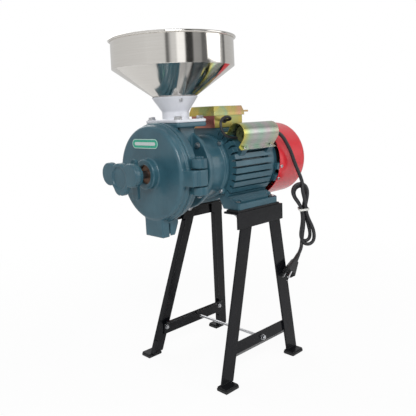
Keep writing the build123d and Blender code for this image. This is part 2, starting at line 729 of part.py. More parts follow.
def cap_screw_points():
    """Screw centres on the capacitor cover's two side flanges."""
    y = (CAP_WIDTH / 2 + CAP_FLANGE / 2) / 2
    return [(CAP_X0 + 14, y), (CAP_X0 + 14, -y), (CAP_X1 - 14, y), (CAP_X1 - 14, -y)]


def cap_solid(width, height, x0, x1):
    """A block with a round top, as long as the cover."""
    straight = height - width / 2
    body = block(x0, x1, -width / 2, width / 2, 0, straight)
    crown = Pos((x0 + x1) / 2, 0, straight) * Rot(0, 90, 0) * Cylinder(width / 2, x1 - x0)
    return body + (crown & block(x0, x1, -width, width, straight / 2, height))


def capacitor_cover():
    """The round-topped cover, open at its front end, on two side flanges."""
    shell = cap_solid(CAP_WIDTH, CAP_HEIGHT, CAP_X0, CAP_X1)
    shell = shell + block(CAP_X0, CAP_X1, -CAP_FLANGE / 2, CAP_FLANGE / 2, 0, CAP_WALL)
    hollow = cap_solid(CAP_WIDTH - 2 * CAP_WALL, CAP_HEIGHT - CAP_WALL, CAP_X0 - 1, CAP_X1 - CAP_WALL)
    shell = shell - hollow
    shell = shell - Pos(CAP_X1, 0, CORD_HEIGHT) * Rot(0, 90, 0) * Cylinder(CORD_HOLE_R, 10)
    shell = Pos(0, 0, CAP_SEAT) * shell
    for x, y in cap_screw_points():
        shell = shell - post(x, y, CAP_SEAT - 1, CAP_SEAT + 4, M4_R)
    return cap_place() * shell


def capacitors():
    """The capacitor can under its cover, with its two tags."""
    centre = Pos(CAN_X0 + CAN_LENGTH / 2, 0, CAP_SEAT + CAP_CAN_R)
    can = centre * Rot(0, 90, 0) * Cylinder(CAP_CAN_R, CAN_LENGTH)
    can = fillet(can.edges(), 1.5)
    tag_z = CAP_SEAT + CAP_CAN_R
    for y in (-6, 6):
        can = can + block(CAN_X0 - 8, CAN_X0 + 1, y - 0.4, y + 0.4, tag_z - 3, tag_z + 3)
    return cap_place() * can


def lid_screw_points():
    """Screw centres near the corners of the lid."""
    x0 = BOX_X0 + LID_SCREW_INSET
    x1 = BOX_X1 - LID_SCREW_INSET
    y = BOX_Y - LID_SCREW_INSET
    return [(x0, -y), (x1, y), (x0, y), (x1, -y)]


def terminal_box():
    """The open box on the motor's top, with screw posts and cable holes."""
    body = block(BOX_X0, BOX_X1, -BOX_Y, BOX_Y, BOX_Z0, BOX_Z1)
    inner_y = BOX_Y - BOX_WALL
    hollow = block(BOX_X0 + BOX_WALL, BOX_X1 - BOX_WALL, -inner_y, inner_y, BOX_Z0 + BOX_WALL, BOX_Z1 + 1)
    body = body - hollow
    for x, y in lid_screw_points():
        body = body + post(x, y, BOX_Z0, BOX_Z1, 5.2)
    for x, y in lid_screw_points():
        body = body - post(x, y, BOX_Z0 + 5, BOX_Z1 + 1, M4_R)
    body = body - Pos(WIRE_X, -BOX_Y, WIRE_Z) * Rot(90, 0, 0) * Cylinder(WIRE_HOLE_R, 10)
    return body - post((BOX_X0 + BOX_X1) / 2, 0, BOX_Z0 - 1, BOX_Z0 + 5, LEAD_HOLE_R)


def terminal_lid():
    """The drafted lid, with a lip over the box and a lug at the rear."""
    x0 = BOX_X0 - LID_LIP
    x1 = BOX_X1 + LID_LIP
    y1 = BOX_Y + LID_LIP
    skirt = block(x0, x1, -y1, y1, BOX_Z1 - 4, BOX_Z1 + LID_WALL)
    base = Pos((x0 + x1) / 2, 0, BOX_Z1 + LID_WALL) * Rectangle(x1 - x0, 2 * y1)
    rise = LID_Z1 - BOX_Z1 - LID_WALL
    crown = extrude(base, rise, taper=math.degrees(math.atan(LID_DRAFT / rise)))
    lid = skirt + crown
    hollow = block(BOX_X0 - 0.4, BOX_X1 + 0.4, -BOX_Y - 0.4, BOX_Y + 0.4, BOX_Z1 - 6, BOX_Z1)
    dome = block(BOX_X0 + 12, BOX_X1 - 12, -BOX_Y + 2, BOX_Y - 2, BOX_Z1 - 1, LID_Z1 - LID_WALL)
    lug = block(x1 - 2, x1 + 18, -y1 + 4, -y1 + 20, BOX_Z1 + 2, BOX_Z1 + 6)
    lid = lid - hollow - dome + lug
    for x, y in lid_screw_points():
        lid = lid - post(x, y, BOX_Z1 - 1, LID_Z1 + 1, M4_R)
        lid = lid - post(x, y, LID_Z1 - LID_DRAFT, LID_Z1 + 1, M4_HEAD_R + 0.6)
    return lid


def terminal_block():
    """The plastic block that the leads are screwed to."""
    block_body = block(5, 41, -14, 14, BOX_Z0 + BOX_WALL, BOX_Z0 + BOX_WALL + 14)
    for index in range(3):
        x = 11 + index * 12
        block_body = block_body - block(x - 4, x + 4, -15, 15, BOX_Z0 + 12, BOX_Z0 + 20)
        block_body = block_body + post(x, 0, BOX_Z0 + 10, BOX_Z0 + 19, 2.5)
    return block_body - post((BOX_X0 + BOX_X1) / 2, 0, BOX_Z0 - 1, BOX_Z0 + 30, 1.5)


def tube(path, radius):
    """A round tube swept along a path."""
    start = Plane(origin=path @ 0, z_dir=path % 0)
    return sweep(start * Circle(radius), path=path)


def tangent_path(points, name):
    """Straight runs joined by tangent arcs, each as wide as its corner allows."""
    radii = []
    for index in range(1, len(points) - 1):
        before = Vector(*points[index]) - Vector(*points[index - 1])
        after = Vector(*points[index + 1]) - Vector(*points[index])
        turn = math.radians(before.get_angle(after))
        radii.append(0.45 * min(before.length, after.length) / math.tan(turn / 2))
    print(name, "radii", [round(radius, 1) for radius in radii])
    return FilletPolyline(*points, radius=radii)


def mill_housing():
    """The casting behind the door: drum, feed barrel, motor flange, inlet, hinge and spout."""
    body = shaft_rod(PARTING_X, DRUM_X1, DRUM_WAIST) + shaft_rod(PARTING_X, PARTING_X + DRUM_RING, DRUM_R)
    body = body + shaft_rod(DRUM_X1, FLANGE_X0, BARREL_R)
    body = body + shaft_rod(FLANGE_X0, FLANGE_X1, FLANGE_R)
    body = body + block(NECK_X0, NECK_X1, -NECK_HALF_Y, NECK_HALF_Y, SHAFT_Z, INLET_TOP - 1)
    body = body + inlet_flange() + spout_rear() + housing_knuckles() + clamp_lug()
    for y in (-BARREL_R, BARREL_R):
        body = body + block(DRUM_X1 - 1, FLANGE_X0 + 1, y - 3, y + 3, SHAFT_Z - 12, SHAFT_Z + 12)
    cavity = shaft_rod(PARTING_X - 1, DISC_SEAT_X, DRUM_CAVITY)
    feed = shaft_rod(DISC_SEAT_X - 1, FLANGE_X0, FEED_R)
    passage = shaft_rod(FLANGE_X0 - 1, FLANGE_X1 + 1, SHAFT_R + 2)
    duct = block(NECK_X0 + NECK_WALL, NECK_X1 - NECK_WALL, -DUCT_HALF_Y, DUCT_HALF_Y, SHAFT_Z, INLET_TOP + 1)
    relief = post(HINGE_X, -HINGE_Y, MIDDLE_Z0 - 2, MIDDLE_Z1 + 2, HINGE_R + 2)
    pin_bore = post(HINGE_X, -HINGE_Y, MIDDLE_Z0 - 40, MIDDLE_Z1 + 40, HINGE_PIN_R)
    step_x0 = FUNNEL_X - INLET_FLANGE_X - 0.5
    step = block(step_x0, NECK_X1, -INLET_FLANGE_Y, INLET_FLANGE_Y, INLET_TOP, INLET_TOP + INLET_FLANGE_H)
    body = body - cavity - feed - passage - duct - relief - pin_bore - spout_rear_channel() - step
    for y, z in ring_points(FLANGE_BOLT_RING, 4, BOLT_ANGLE):
        body = body - Pos(FLANGE_X1, y, z) * Rot(0, 90, 0) * Cylinder(HOUSING_BOLT_R, 40)
    for y, z in ring_points(DISC_BOLT_RING, 3, 30):
        body = body - Pos(DISC_SEAT_X, y, z) * Rot(0, 90, 0) * Cylinder(M4_R, 8)
    return body - funnel_bolt_holes(INLET_TOP - 20, INLET_TOP + 1)


def inlet_flange():
    """The square flange that carries the funnel."""
    x0 = FUNNEL_X - INLET_FLANGE_X
    x1 = FUNNEL_X + INLET_FLANGE_X
    plate = block(x0, x1, -INLET_FLANGE_Y, INLET_FLANGE_Y, INLET_TOP - INLET_FLANGE_H, INLET_TOP)
    return fillet(plate.edges().filter_by(Axis.Z), 6)


def funnel_bolt_points():
    """Centres of the four bolts between funnel and inlet."""
    points = []
    for dx in (-INLET_BOLT_X / 2, INLET_BOLT_X / 2):
        for dy in (-INLET_BOLT_Y / 2, INLET_BOLT_Y / 2):
            points.append((FUNNEL_X + dx, dy))
    return points


def funnel_bolt_holes(z0, z1):
    """Bores for the funnel's bolts."""
    holes = []
    for x, y in funnel_bolt_points():
        holes.append(post(x, y, z0, z1, FUNNEL_BOLT_R))
    return Compound(children=holes)


def spout_rear():
    """The rear half of the flour spout, under the drum and a little apart from the door's half."""
    outline = Polyline(
        (PARTING_X, SPOUT_Z1 + 12),
        (SPOUT_REAR_TOP - 4, SPOUT_Z1 + 12),
        (SPOUT_REAR_TOP, SPOUT_Z1 - 16),
        (SPOUT_REAR_FOOT, SPOUT_Z0 + SPOUT_GAP),
        (PARTING_X + SPOUT_GAP, SPOUT_Z0 + SPOUT_GAP),
        (PARTING_X + SPOUT_GAP, SHAFT_Z - DRUM_R),
        (PARTING_X, SHAFT_Z - DRUM_R),
        close=True,
    )
    return extrude(Plane.XZ * make_face(outline), amount=SPOUT_Y, both=True)


def spout_rear_channel():
    """The space inside the rear half of the spout."""
    outline = Polyline(
        (PARTING_X - 1, SPOUT_Z1 + 14),
        (DISC_SEAT_X - 4, SPOUT_Z1 + 14),
        (DISC_SEAT_X - 1, SPOUT_Z1 - 14),
        (SPOUT_REAR_FOOT - SPOUT_WALL, SPOUT_Z0 - 1),
        (PARTING_X - 1, SPOUT_Z0 - 1),
        close=True,
    )
    return extrude(Plane.XZ * make_face(outline), amount=SPOUT_Y - SPOUT_WALL, both=True)


def housing_knuckles():
    """The upper and lower hinge knuckles with their webs."""
    knuckles = None
    for z0, z1 in ((MIDDLE_Z1 + KNUCKLE_GAP, UPPER_Z1), (LOWER_Z0, MIDDLE_Z0 - SEAM)):
        knuckle = post(HINGE_X, -HINGE_Y, z0, z1, HINGE_R)
        web = block(PARTING_X, DRUM_X1, -HINGE_Y, -HINGE_Y + 25, z0, z1)
        knuckle = knuckle + web
        knuckles = knuckle if knuckles is None else knuckles + knuckle
    return knuckles


def clamp_lug():
    """The clevis on the far side that the clamp bolt swings in."""
    lug = block(PARTING_X + 1, DRUM_X1 - 1, CLAMP_Y - CLAMP_EAR, CLAMP_Y + 9, SHAFT_Z - 16, SHAFT_Z + 16)
    slot = block(PARTING_X - 1, DRUM_X1 + 1, CLAMP_Y - 12, CLAMP_Y + 10, SHAFT_Z - 7.3, SHAFT_Z + 7.3)
    hole = post(HINGE_X, CLAMP_Y, SHAFT_Z - 20, SHAFT_Z + 20, CLAMP_PIN_R)
    return lug - slot - hole


def door_disc():
    """The door's round body with its domed edge and rear ring."""
    rear = PARTING_X - SEAM
    disc = shaft_rod(DOOR_X0, rear, DOOR_DOME)
    disc = fillet(disc.edges().sort_by(Axis.X)[0], DOOR_ROUND)
    return disc + shaft_rod(rear - DOOR_RING, rear, DOOR_R)


def clamp_ear():
    """The slotted ear welded to the door's far edge, which the swing bolt closes on."""
    rear = PARTING_X - SEAM
    y0 = CLAMP_Y - CLAMP_EAR
    y1 = CLAMP_Y + CLAMP_EAR_TIP
    ear = block(DOOR_X0 + DOOR_ROUND, rear, y0, y1, SHAFT_Z - CLAMP_EAR_Z, SHAFT_Z + CLAMP_EAR_Z)
    slot_z = CLAMP_R + CLAMP_SLOT_GAP
    slot = block(DOOR_X0, rear + 1, CLAMP_Y - 9, y1 + 1, SHAFT_Z - slot_z, SHAFT_Z + slot_z)
    return ear - slot - door_disc()


def mill_door():
    """The cast door: domed edge, boss, spout half and hinge arm."""
    rear = PARTING_X - SEAM
    boss = shaft_rod(BOSS_X0, rear - 1, BOSS_R)
    boss = fillet(boss.edges().sort_by(Axis.X)[0], 2)
    spout = block(SPOUT_FRONT, rear, -SPOUT_Y, SPOUT_Y, SPOUT_Z0, SPOUT_Z1 + 12)
    arm = block(DOOR_X0 + 4, rear, -HINGE_Y - 11, -HINGE_Y + 26, MIDDLE_Z0, MIDDLE_Z1)
    heel = block(HINGE_X - HINGE_R, HINGE_X, -HINGE_Y - HINGE_R, -HINGE_Y + 6, MIDDLE_Z0, MIDDLE_Z1)
    body = door_disc() + spout + arm + heel
    body = body + post(HINGE_X, -HINGE_Y, MIDDLE_Z0, MIDDLE_Z1, HINGE_R)
    cavity = shaft_rod(DOOR_X0 + DOOR_SKIN, rear + 1, DRUM_CAVITY)
    inner_y = SPOUT_Y - SPOUT_WALL
    channel = block(SPOUT_FRONT + SPOUT_WALL, rear + 1, -inner_y, inner_y, SPOUT_Z0 - 1, SPOUT_Z1 + 14)
    body = body - cavity - channel
    body = body + shaft_rod(BOSS_X0 + 5, DOOR_X0 + DOOR_SKIN + 4, BOSS_R - 2) + boss_collar(boss)
    body = body - shaft_rod(BOSS_X0 - 1, DOOR_X0 + DOOR_SKIN + 5, BUSH_R)
    return body - post(HINGE_X, -HINGE_Y, MIDDLE_Z0 - 1, MIDDLE_Z1 + 1, HINGE_PIN_R + RUN)


def boss_collar(boss):
    """The part of the boss in front of the door's skin."""
    return boss & block(BOSS_X0 - 1, DOOR_X0 + 1, -BOSS_R, BOSS_R, SHAFT_Z - BOSS_R, SHAFT_Z + BOSS_R)


def hinge_pin():
    """The hinge pin with its slotted head."""
    pin = post(HINGE_X, -HINGE_Y, LOWER_Z0 - 3, UPPER_Z1, HINGE_PIN_R)
    head = post(HINGE_X, -HINGE_Y, UPPER_Z1, UPPER_Z1 + 4, HINGE_PIN_R + 3.5)
    slot = Box(HINGE_PIN_R * 4, 1.6, 3)
    return pin + head - Pos(HINGE_X, -HINGE_Y, UPPER_Z1 + 4) * slot


def spindle_bush():
    """The bronze bush in the door's boss that the spindle screws through."""
    bush = shaft_rod(BOSS_X0 + 6, DOOR_X0 + DOOR_SKIN + 4, BUSH_R)
    return bush - shaft_rod(BOSS_X0, DOOR_X0 + DOOR_SKIN + 10, SPINDLE_R + RUN)


def adjusting_spindle():
    """The spindle from the knob to the shaft's end."""
    rod = shaft_rod(SPINDLE_END, SPINDLE_TIP, SPINDLE_R)
    return chamfer(rod.edges(), 1)


def knob_lobe(y, z, radius):
    """One round lobe of the knob's plate with a softened front edge."""
    lobe = Pos(0, y, z) * shaft_rod(KNOB_X0, KNOB_X0 + KNOB_PLATE, radius)
    return fillet(lobe.edges().sort_by(Axis.X)[0], 2)


def adjusting_knob():
    """The lobed hand knob with a barrel behind it."""
    x1 = KNOB_X0 + KNOB_PLATE
    plate = knob_lobe(0, 0, KNOB_DISC_R) + knob_lobe(0, KNOB_FOOT_Z, KNOB_FOOT_R)
    for y in (-KNOB_EAR_Y, KNOB_EAR_Y):
        plate = plate + knob_lobe(y, KNOB_EAR_Z, KNOB_EAR_R)
    plate = plate - Pos(0, 0, KNOB_FOOT_Z - KNOB_FOOT_R) * shaft_rod(KNOB_X0 - 1, x1 + 1, 3)
    barrel = shaft_rod(x1 - 1, KNOB_BARREL_X1, KNOB_BARREL_R)
    dish = shaft_rod(KNOB_X0 - 1, KNOB_X0 + 3, KNOB_DISH_R)
    bore = shaft_rod(SPINDLE_END - SEAM, KNOB_BARREL_X1 + 1, SPINDLE_R + RUN)
    return plate + barrel - dish - bore


def lock_nut():
    """The lock nut on the spindle: a ring with an upper and a lower ear."""
    ring = shaft_rod(LOCK_X0, LOCK_X1, LOCK_R)
    upper = block(LOCK_X0 + 1, LOCK_X1 - 1, -8, 8, SHAFT_Z, SHAFT_Z + LOCK_UP)
    lower = block(LOCK_X0 + 1, LOCK_X1 - 1, -9, 9, SHAFT_Z - LOCK_DOWN, SHAFT_Z)
    ears = fillet(upper.edges().filter_by(Axis.X), 5) + fillet(lower.edges().filter_by(Axis.X), 5)
    return ring + ears - shaft_rod(LOCK_X0 - 1, LOCK_X1 + 1, SPINDLE_R + RUN)


def clamp_bolt():
    """The swing bolt, swung back clear of the door, with an eye on its pin."""
    eye = post(HINGE_X, CLAMP_Y, SHAFT_Z - 7, SHAFT_Z + 7, 9)
    rod = Pos(HINGE_X + CLAMP_LENGTH / 2, CLAMP_Y, SHAFT_Z) * Rot(0, 90, 0) * Cylinder(CLAMP_R, CLAMP_LENGTH)
    return eye + rod - post(HINGE_X, CLAMP_Y, SHAFT_Z - 8, SHAFT_Z + 8, CLAMP_PIN_R + RUN)


def clamp_nut():
    """The wing nut on the swing bolt."""
    x0 = HINGE_X + CLAMP_NUT_AT
    place = Pos(x0, CLAMP_Y, SHAFT_Z) * Rot(0, 90, 0)
    hub = Cylinder(9, 11, align=STANDING)
    wing = Pos(0, 0, 7) * Box(40, 4, 12)
    wing = fillet(wing.edges().filter_by(Axis.Y), 4)
    return place * (hub + wing - Cylinder(CLAMP_R + RUN, 60))


def clamp_pin():
    """The pin that the swing bolt turns on."""
    pin = post(HINGE_X, CLAMP_Y, SHAFT_Z - 18, SHAFT_Z + 18, CLAMP_PIN_R)
    return pin + post(HINGE_X, CLAMP_Y, SHAFT_Z + 16, SHAFT_Z + 19, CLAMP_PIN_R + 2.5)


def housing_bolts():
    """Four bolts through the housing's flange into the end bell."""
    bolts = []
    length = FLANGE_X1 - FLANGE_X0 + BELL_FLANGE
    for y, z in ring_points(FLANGE_BOLT_RING, 4, BOLT_ANGLE):
        bolts.append(aimed((FLANGE_X0, y, z), (-1, 0, 0)) * hex_bolt(HOUSING_BOLT_R, length))
    return Compound(children=bolts)


def label_plate():
    """The blank label on the door's upper half."""
    plate = Box(LABEL_T, 2 * LABEL_HALF_Y, 2 * LABEL_HALF_Z)
    plate = fillet(plate.edges().filter_by(Axis.X), LABEL_ROUND)
    return Pos(DOOR_X0 - LABEL_T / 2, LABEL_Y, LABEL_Z) * plate


def grinding_face(x, direction):
    """Radial teeth standing out from a disc's grinding face."""
    teeth = []
    x0 = min(x, x + direction * DISC_TOOTH)
    x1 = max(x, x + direction * DISC_TOOTH)
    tooth = block(x0, x1, -1.6, 1.6, FEED_R + 6, DISC_R - 1)
    for index in range(18):
        teeth.append(Pos(0, 0, SHAFT_Z) * Rot(index * 20, 0, 0) * tooth)
    return teeth


def stationary_disc():
    """The disc screwed to the housing's back wall."""
    face_x = DISC_SEAT_X - DISC_T + DISC_TOOTH
    disc = shaft_rod(face_x, DISC_SEAT_X, DISC_R)
    for tooth in grinding_face(face_x, -1):
        disc = disc + tooth
    disc = disc - shaft_rod(DISC_SEAT_X - 20, DISC_SEAT_X + 1, FEED_R)
    for y, z in ring_points(DISC_BOLT_RING, 3, 30):
        place = Pos(face_x, y, z) * Rot(0, 90, 0)
        disc = disc - place * Cylinder(M4_R, 40) - place * Cylinder(M4_HEAD_R + 0.6, 2 * M4_HEAD_H + 2)
    return disc


def disc_screws():
    """The sunk screws that hold the stationary disc."""
    seat_x = DISC_SEAT_X - DISC_T + DISC_TOOTH + M4_HEAD_H + 1
    screws = []
    for y, z in ring_points(DISC_BOLT_RING, 3, 30):
        screws.append(aimed((seat_x, y, z), (-1, 0, 0)) * cross_screw(DISC_SEAT_X - seat_x + 3))
    return Compound(children=screws)


def rotating_disc():
    """The disc keyed to the shaft's end."""
    face_x = DISC_SEAT_X - DISC_T - DISC_GAP - DISC_TOOTH
    disc = shaft_rod(face_x - DISC_T + DISC_TOOTH, face_x, DISC_R)
    for tooth in grinding_face(face_x, 1):
        disc = disc + tooth
    return disc - shaft_rod(face_x - 20, face_x + 20, SHAFT_R)


def feed_auger():
    """The screw on the shaft that feeds grain to the discs."""
    x0 = DISC_SEAT_X - DISC_T - DISC_GAP
    length = FLANGE_X0 - 2 - x0
    hub = shaft_rod(x0, x0 + length, AUGER_HUB)
    turns = (length - 12) / AUGER_PITCH
    path = Helix(AUGER_PITCH, turns * AUGER_PITCH, AUGER_HUB)
    profile = Plane(origin=path @ 0, x_dir=(1, 0, 0), z_dir=path % 0)
    section = Pos(AUGER_FLIGHT / 2 - 0.5, 0) * Rectangle(AUGER_FLIGHT + 1, FLIGHT_WALL)
    flight = sweep(profile * section, path=path, is_frenet=True)
    flight = Pos(x0 + 6, 0, SHAFT_Z) * Rot(0, 90, 0) * flight
    return hub + flight - shaft_rod(x0 - 1, x0 + length + 1, SHAFT_R)


def inlet_funnel():
    """The cast funnel: square plate, round throat and flared cone."""
    x0 = FUNNEL_X - INLET_FLANGE_X
    x1 = FUNNEL_X + INLET_FLANGE_X
    plate = block(x0, x1, -INLET_FLANGE_Y, INLET_FLANGE_Y, INLET_TOP, INLET_TOP + FUNNEL_PLATE)
    plate = fillet(plate.edges().filter_by(Axis.Z), 6)
    funnel = plate + funnel_turned(0, 0) - funnel_turned(FUNNEL_WALL, 1)
    funnel = funnel - funnel_bolt_holes(INLET_TOP - 1, INLET_TOP + FUNNEL_PLATE + 1)
    return funnel - hopper_screw_holes()


def funnel_turned(inset, extra):
    """Throat and cone of revolution, moved in by the inset and longer at both ends by the extra."""
    outline = Polyline(
        (0, INLET_TOP - extra),
        (THROAT_R - inset, INLET_TOP - extra),
        (THROAT_R - inset, THROAT_Z),
        (CONE_R - inset + extra * FUNNEL_FLARE, CONE_Z + extra),
        (0, CONE_Z + extra),
        close=True,
    )
    turned = revolve(Plane.XZ * make_face(outline), axis=Axis.Z)
    return Pos(FUNNEL_X, 0, 0) * turned


def hopper_screw_places():
    """Two opposite seats on the funnel's flared side, square to it."""
    places = []
    radius = CONE_R - HOPPER_SCREW_DROP * FUNNEL_FLARE
    for turn in (HOPPER_SCREW_TURN, HOPPER_SCREW_TURN - 180):
        across = math.cos(math.radians(turn))
        along = math.sin(math.radians(turn))
        origin = (FUNNEL_X + radius * across, radius * along, CONE_Z - HOPPER_SCREW_DROP)
        places.append(aimed(origin, (across, along, -FUNNEL_FLARE)))
    return places


def hopper_screw_holes():
    """The bores through funnel and collar for the hopper's screws."""
    near, far = hopper_screw_places()
    return near * Cylinder(M4_R, 20) + far * Cylinder(M4_R, 20)


def funnel_bolts():
    """Four bolts through the funnel's plate into the inlet flange."""
    bolts = []
    length = FUNNEL_PLATE + INLET_FLANGE_H
    for x, y in funnel_bolt_points():
        bolts.append(Pos(x, y, INLET_TOP + FUNNEL_PLATE) * hex_bolt(FUNNEL_BOLT_R, length))
    return Compound(children=bolts)


def hopper():
    """The spun steel hopper: collar down in the funnel, cone, cylinder and rolled rim."""
    collar = CONE_R - FUNNEL_WALL - SEAM
    foot = collar - COLLAR_DEPTH * FUNNEL_FLARE
    outer = Polyline(
        (foot, CONE_Z - COLLAR_DEPTH),
        (collar, CONE_Z),
        (HOPPER_R, HOPPER_Z0),
        (HOPPER_R, HOPPER_Z1 - HOPPER_BEAD),
        (HOPPER_R - HOPPER_WALL, HOPPER_Z1 - HOPPER_BEAD),
        (HOPPER_R - HOPPER_WALL, HOPPER_Z0 + 0.4),
        (collar - HOPPER_WALL, CONE_Z + 0.4),
        (foot - HOPPER_WALL, CONE_Z - COLLAR_DEPTH),
        close=True,
    )
    shell = revolve(Plane.XZ * make_face(outer), axis=Axis.Z)
    bead = Pos(0, 0, HOPPER_Z1 - HOPPER_BEAD) * Torus(HOPPER_R + HOPPER_BEAD - HOPPER_WALL, HOPPER_BEAD)
    return Pos(FUNNEL_X, 0, 0) * (shell + bead) - hopper_screw_holes()


def hopper_screws():
    """Two screws through the funnel's side into the hopper's collar."""
    screw = cross_screw(FUNNEL_WALL + HOPPER_WALL)
    return Compound(children=[place * screw for place in hopper_screw_places()])


def cable_grommets():
    """The rubber grommets where the cord and the link wire pass through a wall."""
    grommets = []
    cord = Pos(CAP_X1 - CAP_WALL, 0, CAP_SEAT + CORD_HEIGHT) * Rot(0, 90, 0)
    ring = Pos(0, 0, -1) * Cylinder(CORD_HOLE_R, 3 + CAP_WALL, align=STANDING)
    flange = Pos(0, 0, CAP_WALL) * Cylinder(CORD_HOLE_R + 2, 3, align=STANDING)
    grommets.append(cap_place() * cord * (ring + flange - Cylinder(CORD_R, 40)))
    wire = Pos(WIRE_X, -BOX_Y, WIRE_Z) * Rot(90, 0, 0)
    sleeve = Pos(0, 0, -BOX_WALL) * Cylinder(WIRE_HOLE_R, BOX_WALL + 1, align=STANDING)
    rim = Cylinder(WIRE_HOLE_R + 1.6, 2, align=STANDING)
    grommets.append(wire * (sleeve + rim - Cylinder(WIRE_R, 40)))
    return Compound(children=grommets)


def link_wire():
    """The short cable from the box's near side into the capacitor cover's open end."""
    return tube(tangent_path(WIRE_ROUTE, "link wire"), WIRE_R)


def cord_exit(x):
    """A point on the line that the cord leaves the capacitor cover along."""
    origin = (cap_place() * Pos(x, 0, CAP_SEAT + CORD_HEIGHT)).position
    return (origin.X, origin.Y, origin.Z)


def power_cord():
    """The supply cord from the capacitor cover's rear end down to its coil."""
    return tube(tangent_path([cord_exit(CORD_START), cord_exit(CORD_BEND)] + CORD_FALL, "power cord"), CORD_R)


def hank_plane():
    """The coil's frame: X across it, Z up it."""
    return Plane(origin=HANK_CENTRE, x_dir=HANK_ACROSS, z_dir=HANK_DEPTH)


def hank_loop():
    """The coil's closed outline in its own plane, pinched at the tie."""
    right = [(HANK_WAIST, -TIE_BAND), (HANK_WAIST, TIE_BAND), (HANK_UPPER[1], 0.68 * HANK_TOP)]
    left = [(HANK_UPPER[0], 0.58 * HANK_TOP), (-HANK_WAIST, TIE_BAND), (-HANK_WAIST, -TIE_BAND)]
    foot = [(HANK_LOWER[0], -HANK_FOOT / 2), (TIE_BAND, -HANK_FOOT), (HANK_LOWER[1], -0.58 * HANK_FOOT)]
    return make_face(Spline(*(right + [(0, HANK_TOP)] + left + foot), periodic=True))


def hank_hole(sides, middle, half):
    """An oval hole between the coil's turns, a cord's width inside each side."""
    centre = (sides[0] + sides[1]) / 2
    return Pos(centre, middle) * Ellipse((sides[1] - sides[0]) / 2 - 2 * CORD_R, half)


def cord_hank():
    """The tied coil of spare cord, as the one outer shape of its turns."""
    upper = hank_hole(HANK_UPPER, 0.57 * HANK_TOP, 0.29 * HANK_TOP)
    lower = hank_hole(HANK_LOWER, -0.54 * HANK_FOOT, 0.33 * HANK_FOOT)
    solid = extrude(hank_loop() - upper - lower, HANK_THICK / 2, both=True)
    return hank_plane().location * solid


def hank_tie():
    """The wire tie round the coil's waist."""
    wide = HANK_WAIST + 2 * SEAM
    deep = HANK_THICK / 2 + SEAM
    outer = Box(2 * (wide + TIE_WALL), TIE_BAND, 2 * (deep + TIE_WALL))
    return hank_plane().location * (outer - Box(2 * wide, TIE_BAND + 2, 2 * deep))


def cord_tail():
    """The free end of the cord from the coil to the plug."""
    return tube(tangent_path(TAIL_ROUTE, "cord tail"), CORD_R)


def plug_plane():
    """The plug's frame at its rear end: Z towards the blades."""
    return Plane(origin=TAIL_ROUTE[-1], x_dir=PLUG_ACROSS, z_dir=PLUG_DIRECTION)


def cord_plug():
    """The moulded plug with a tapered strain relief."""
    relief = Pos(0, 0, RELIEF_LENGTH / 2) * Cone(CORD_R + 0.6, CORD_R + 2.6, RELIEF_LENGTH)
    rear = Pos(0, 0, RELIEF_LENGTH) * RectangleRounded(17, 15, 5)
    front = Pos(0, 0, RELIEF_LENGTH + PLUG_LENGTH) * RectangleRounded(PLUG_WIDE, PLUG_DEEP, 6)
    body = loft([rear, front])
    plug = relief + body
    for shape in blade_solids():
        plug = plug - shape
    return plug_plane().location * plug


def blade_solids():
    """Two flat blades and a round earth pin in the plug's frame."""
    z0 = RELIEF_LENGTH + PLUG_LENGTH - 6
    length = BLADE_LENGTH + 6
    flat = Pos(0, 0, z0 + length / 2) * Box(1.5, 6.3, length)
    earth = Pos(0, BLADE_EARTH, z0 + length / 2 + 1) * Cylinder(2.4, length + 2)
    return [Pos(-BLADE_HALF, -3, 0) * flat, Pos(BLADE_HALF, -3, 0) * flat, Pos(0, -3, 0) * earth]


def plug_blades():
    """The plug's three metal blades."""
    return plug_plane().location * Compound(children=blade_solids())


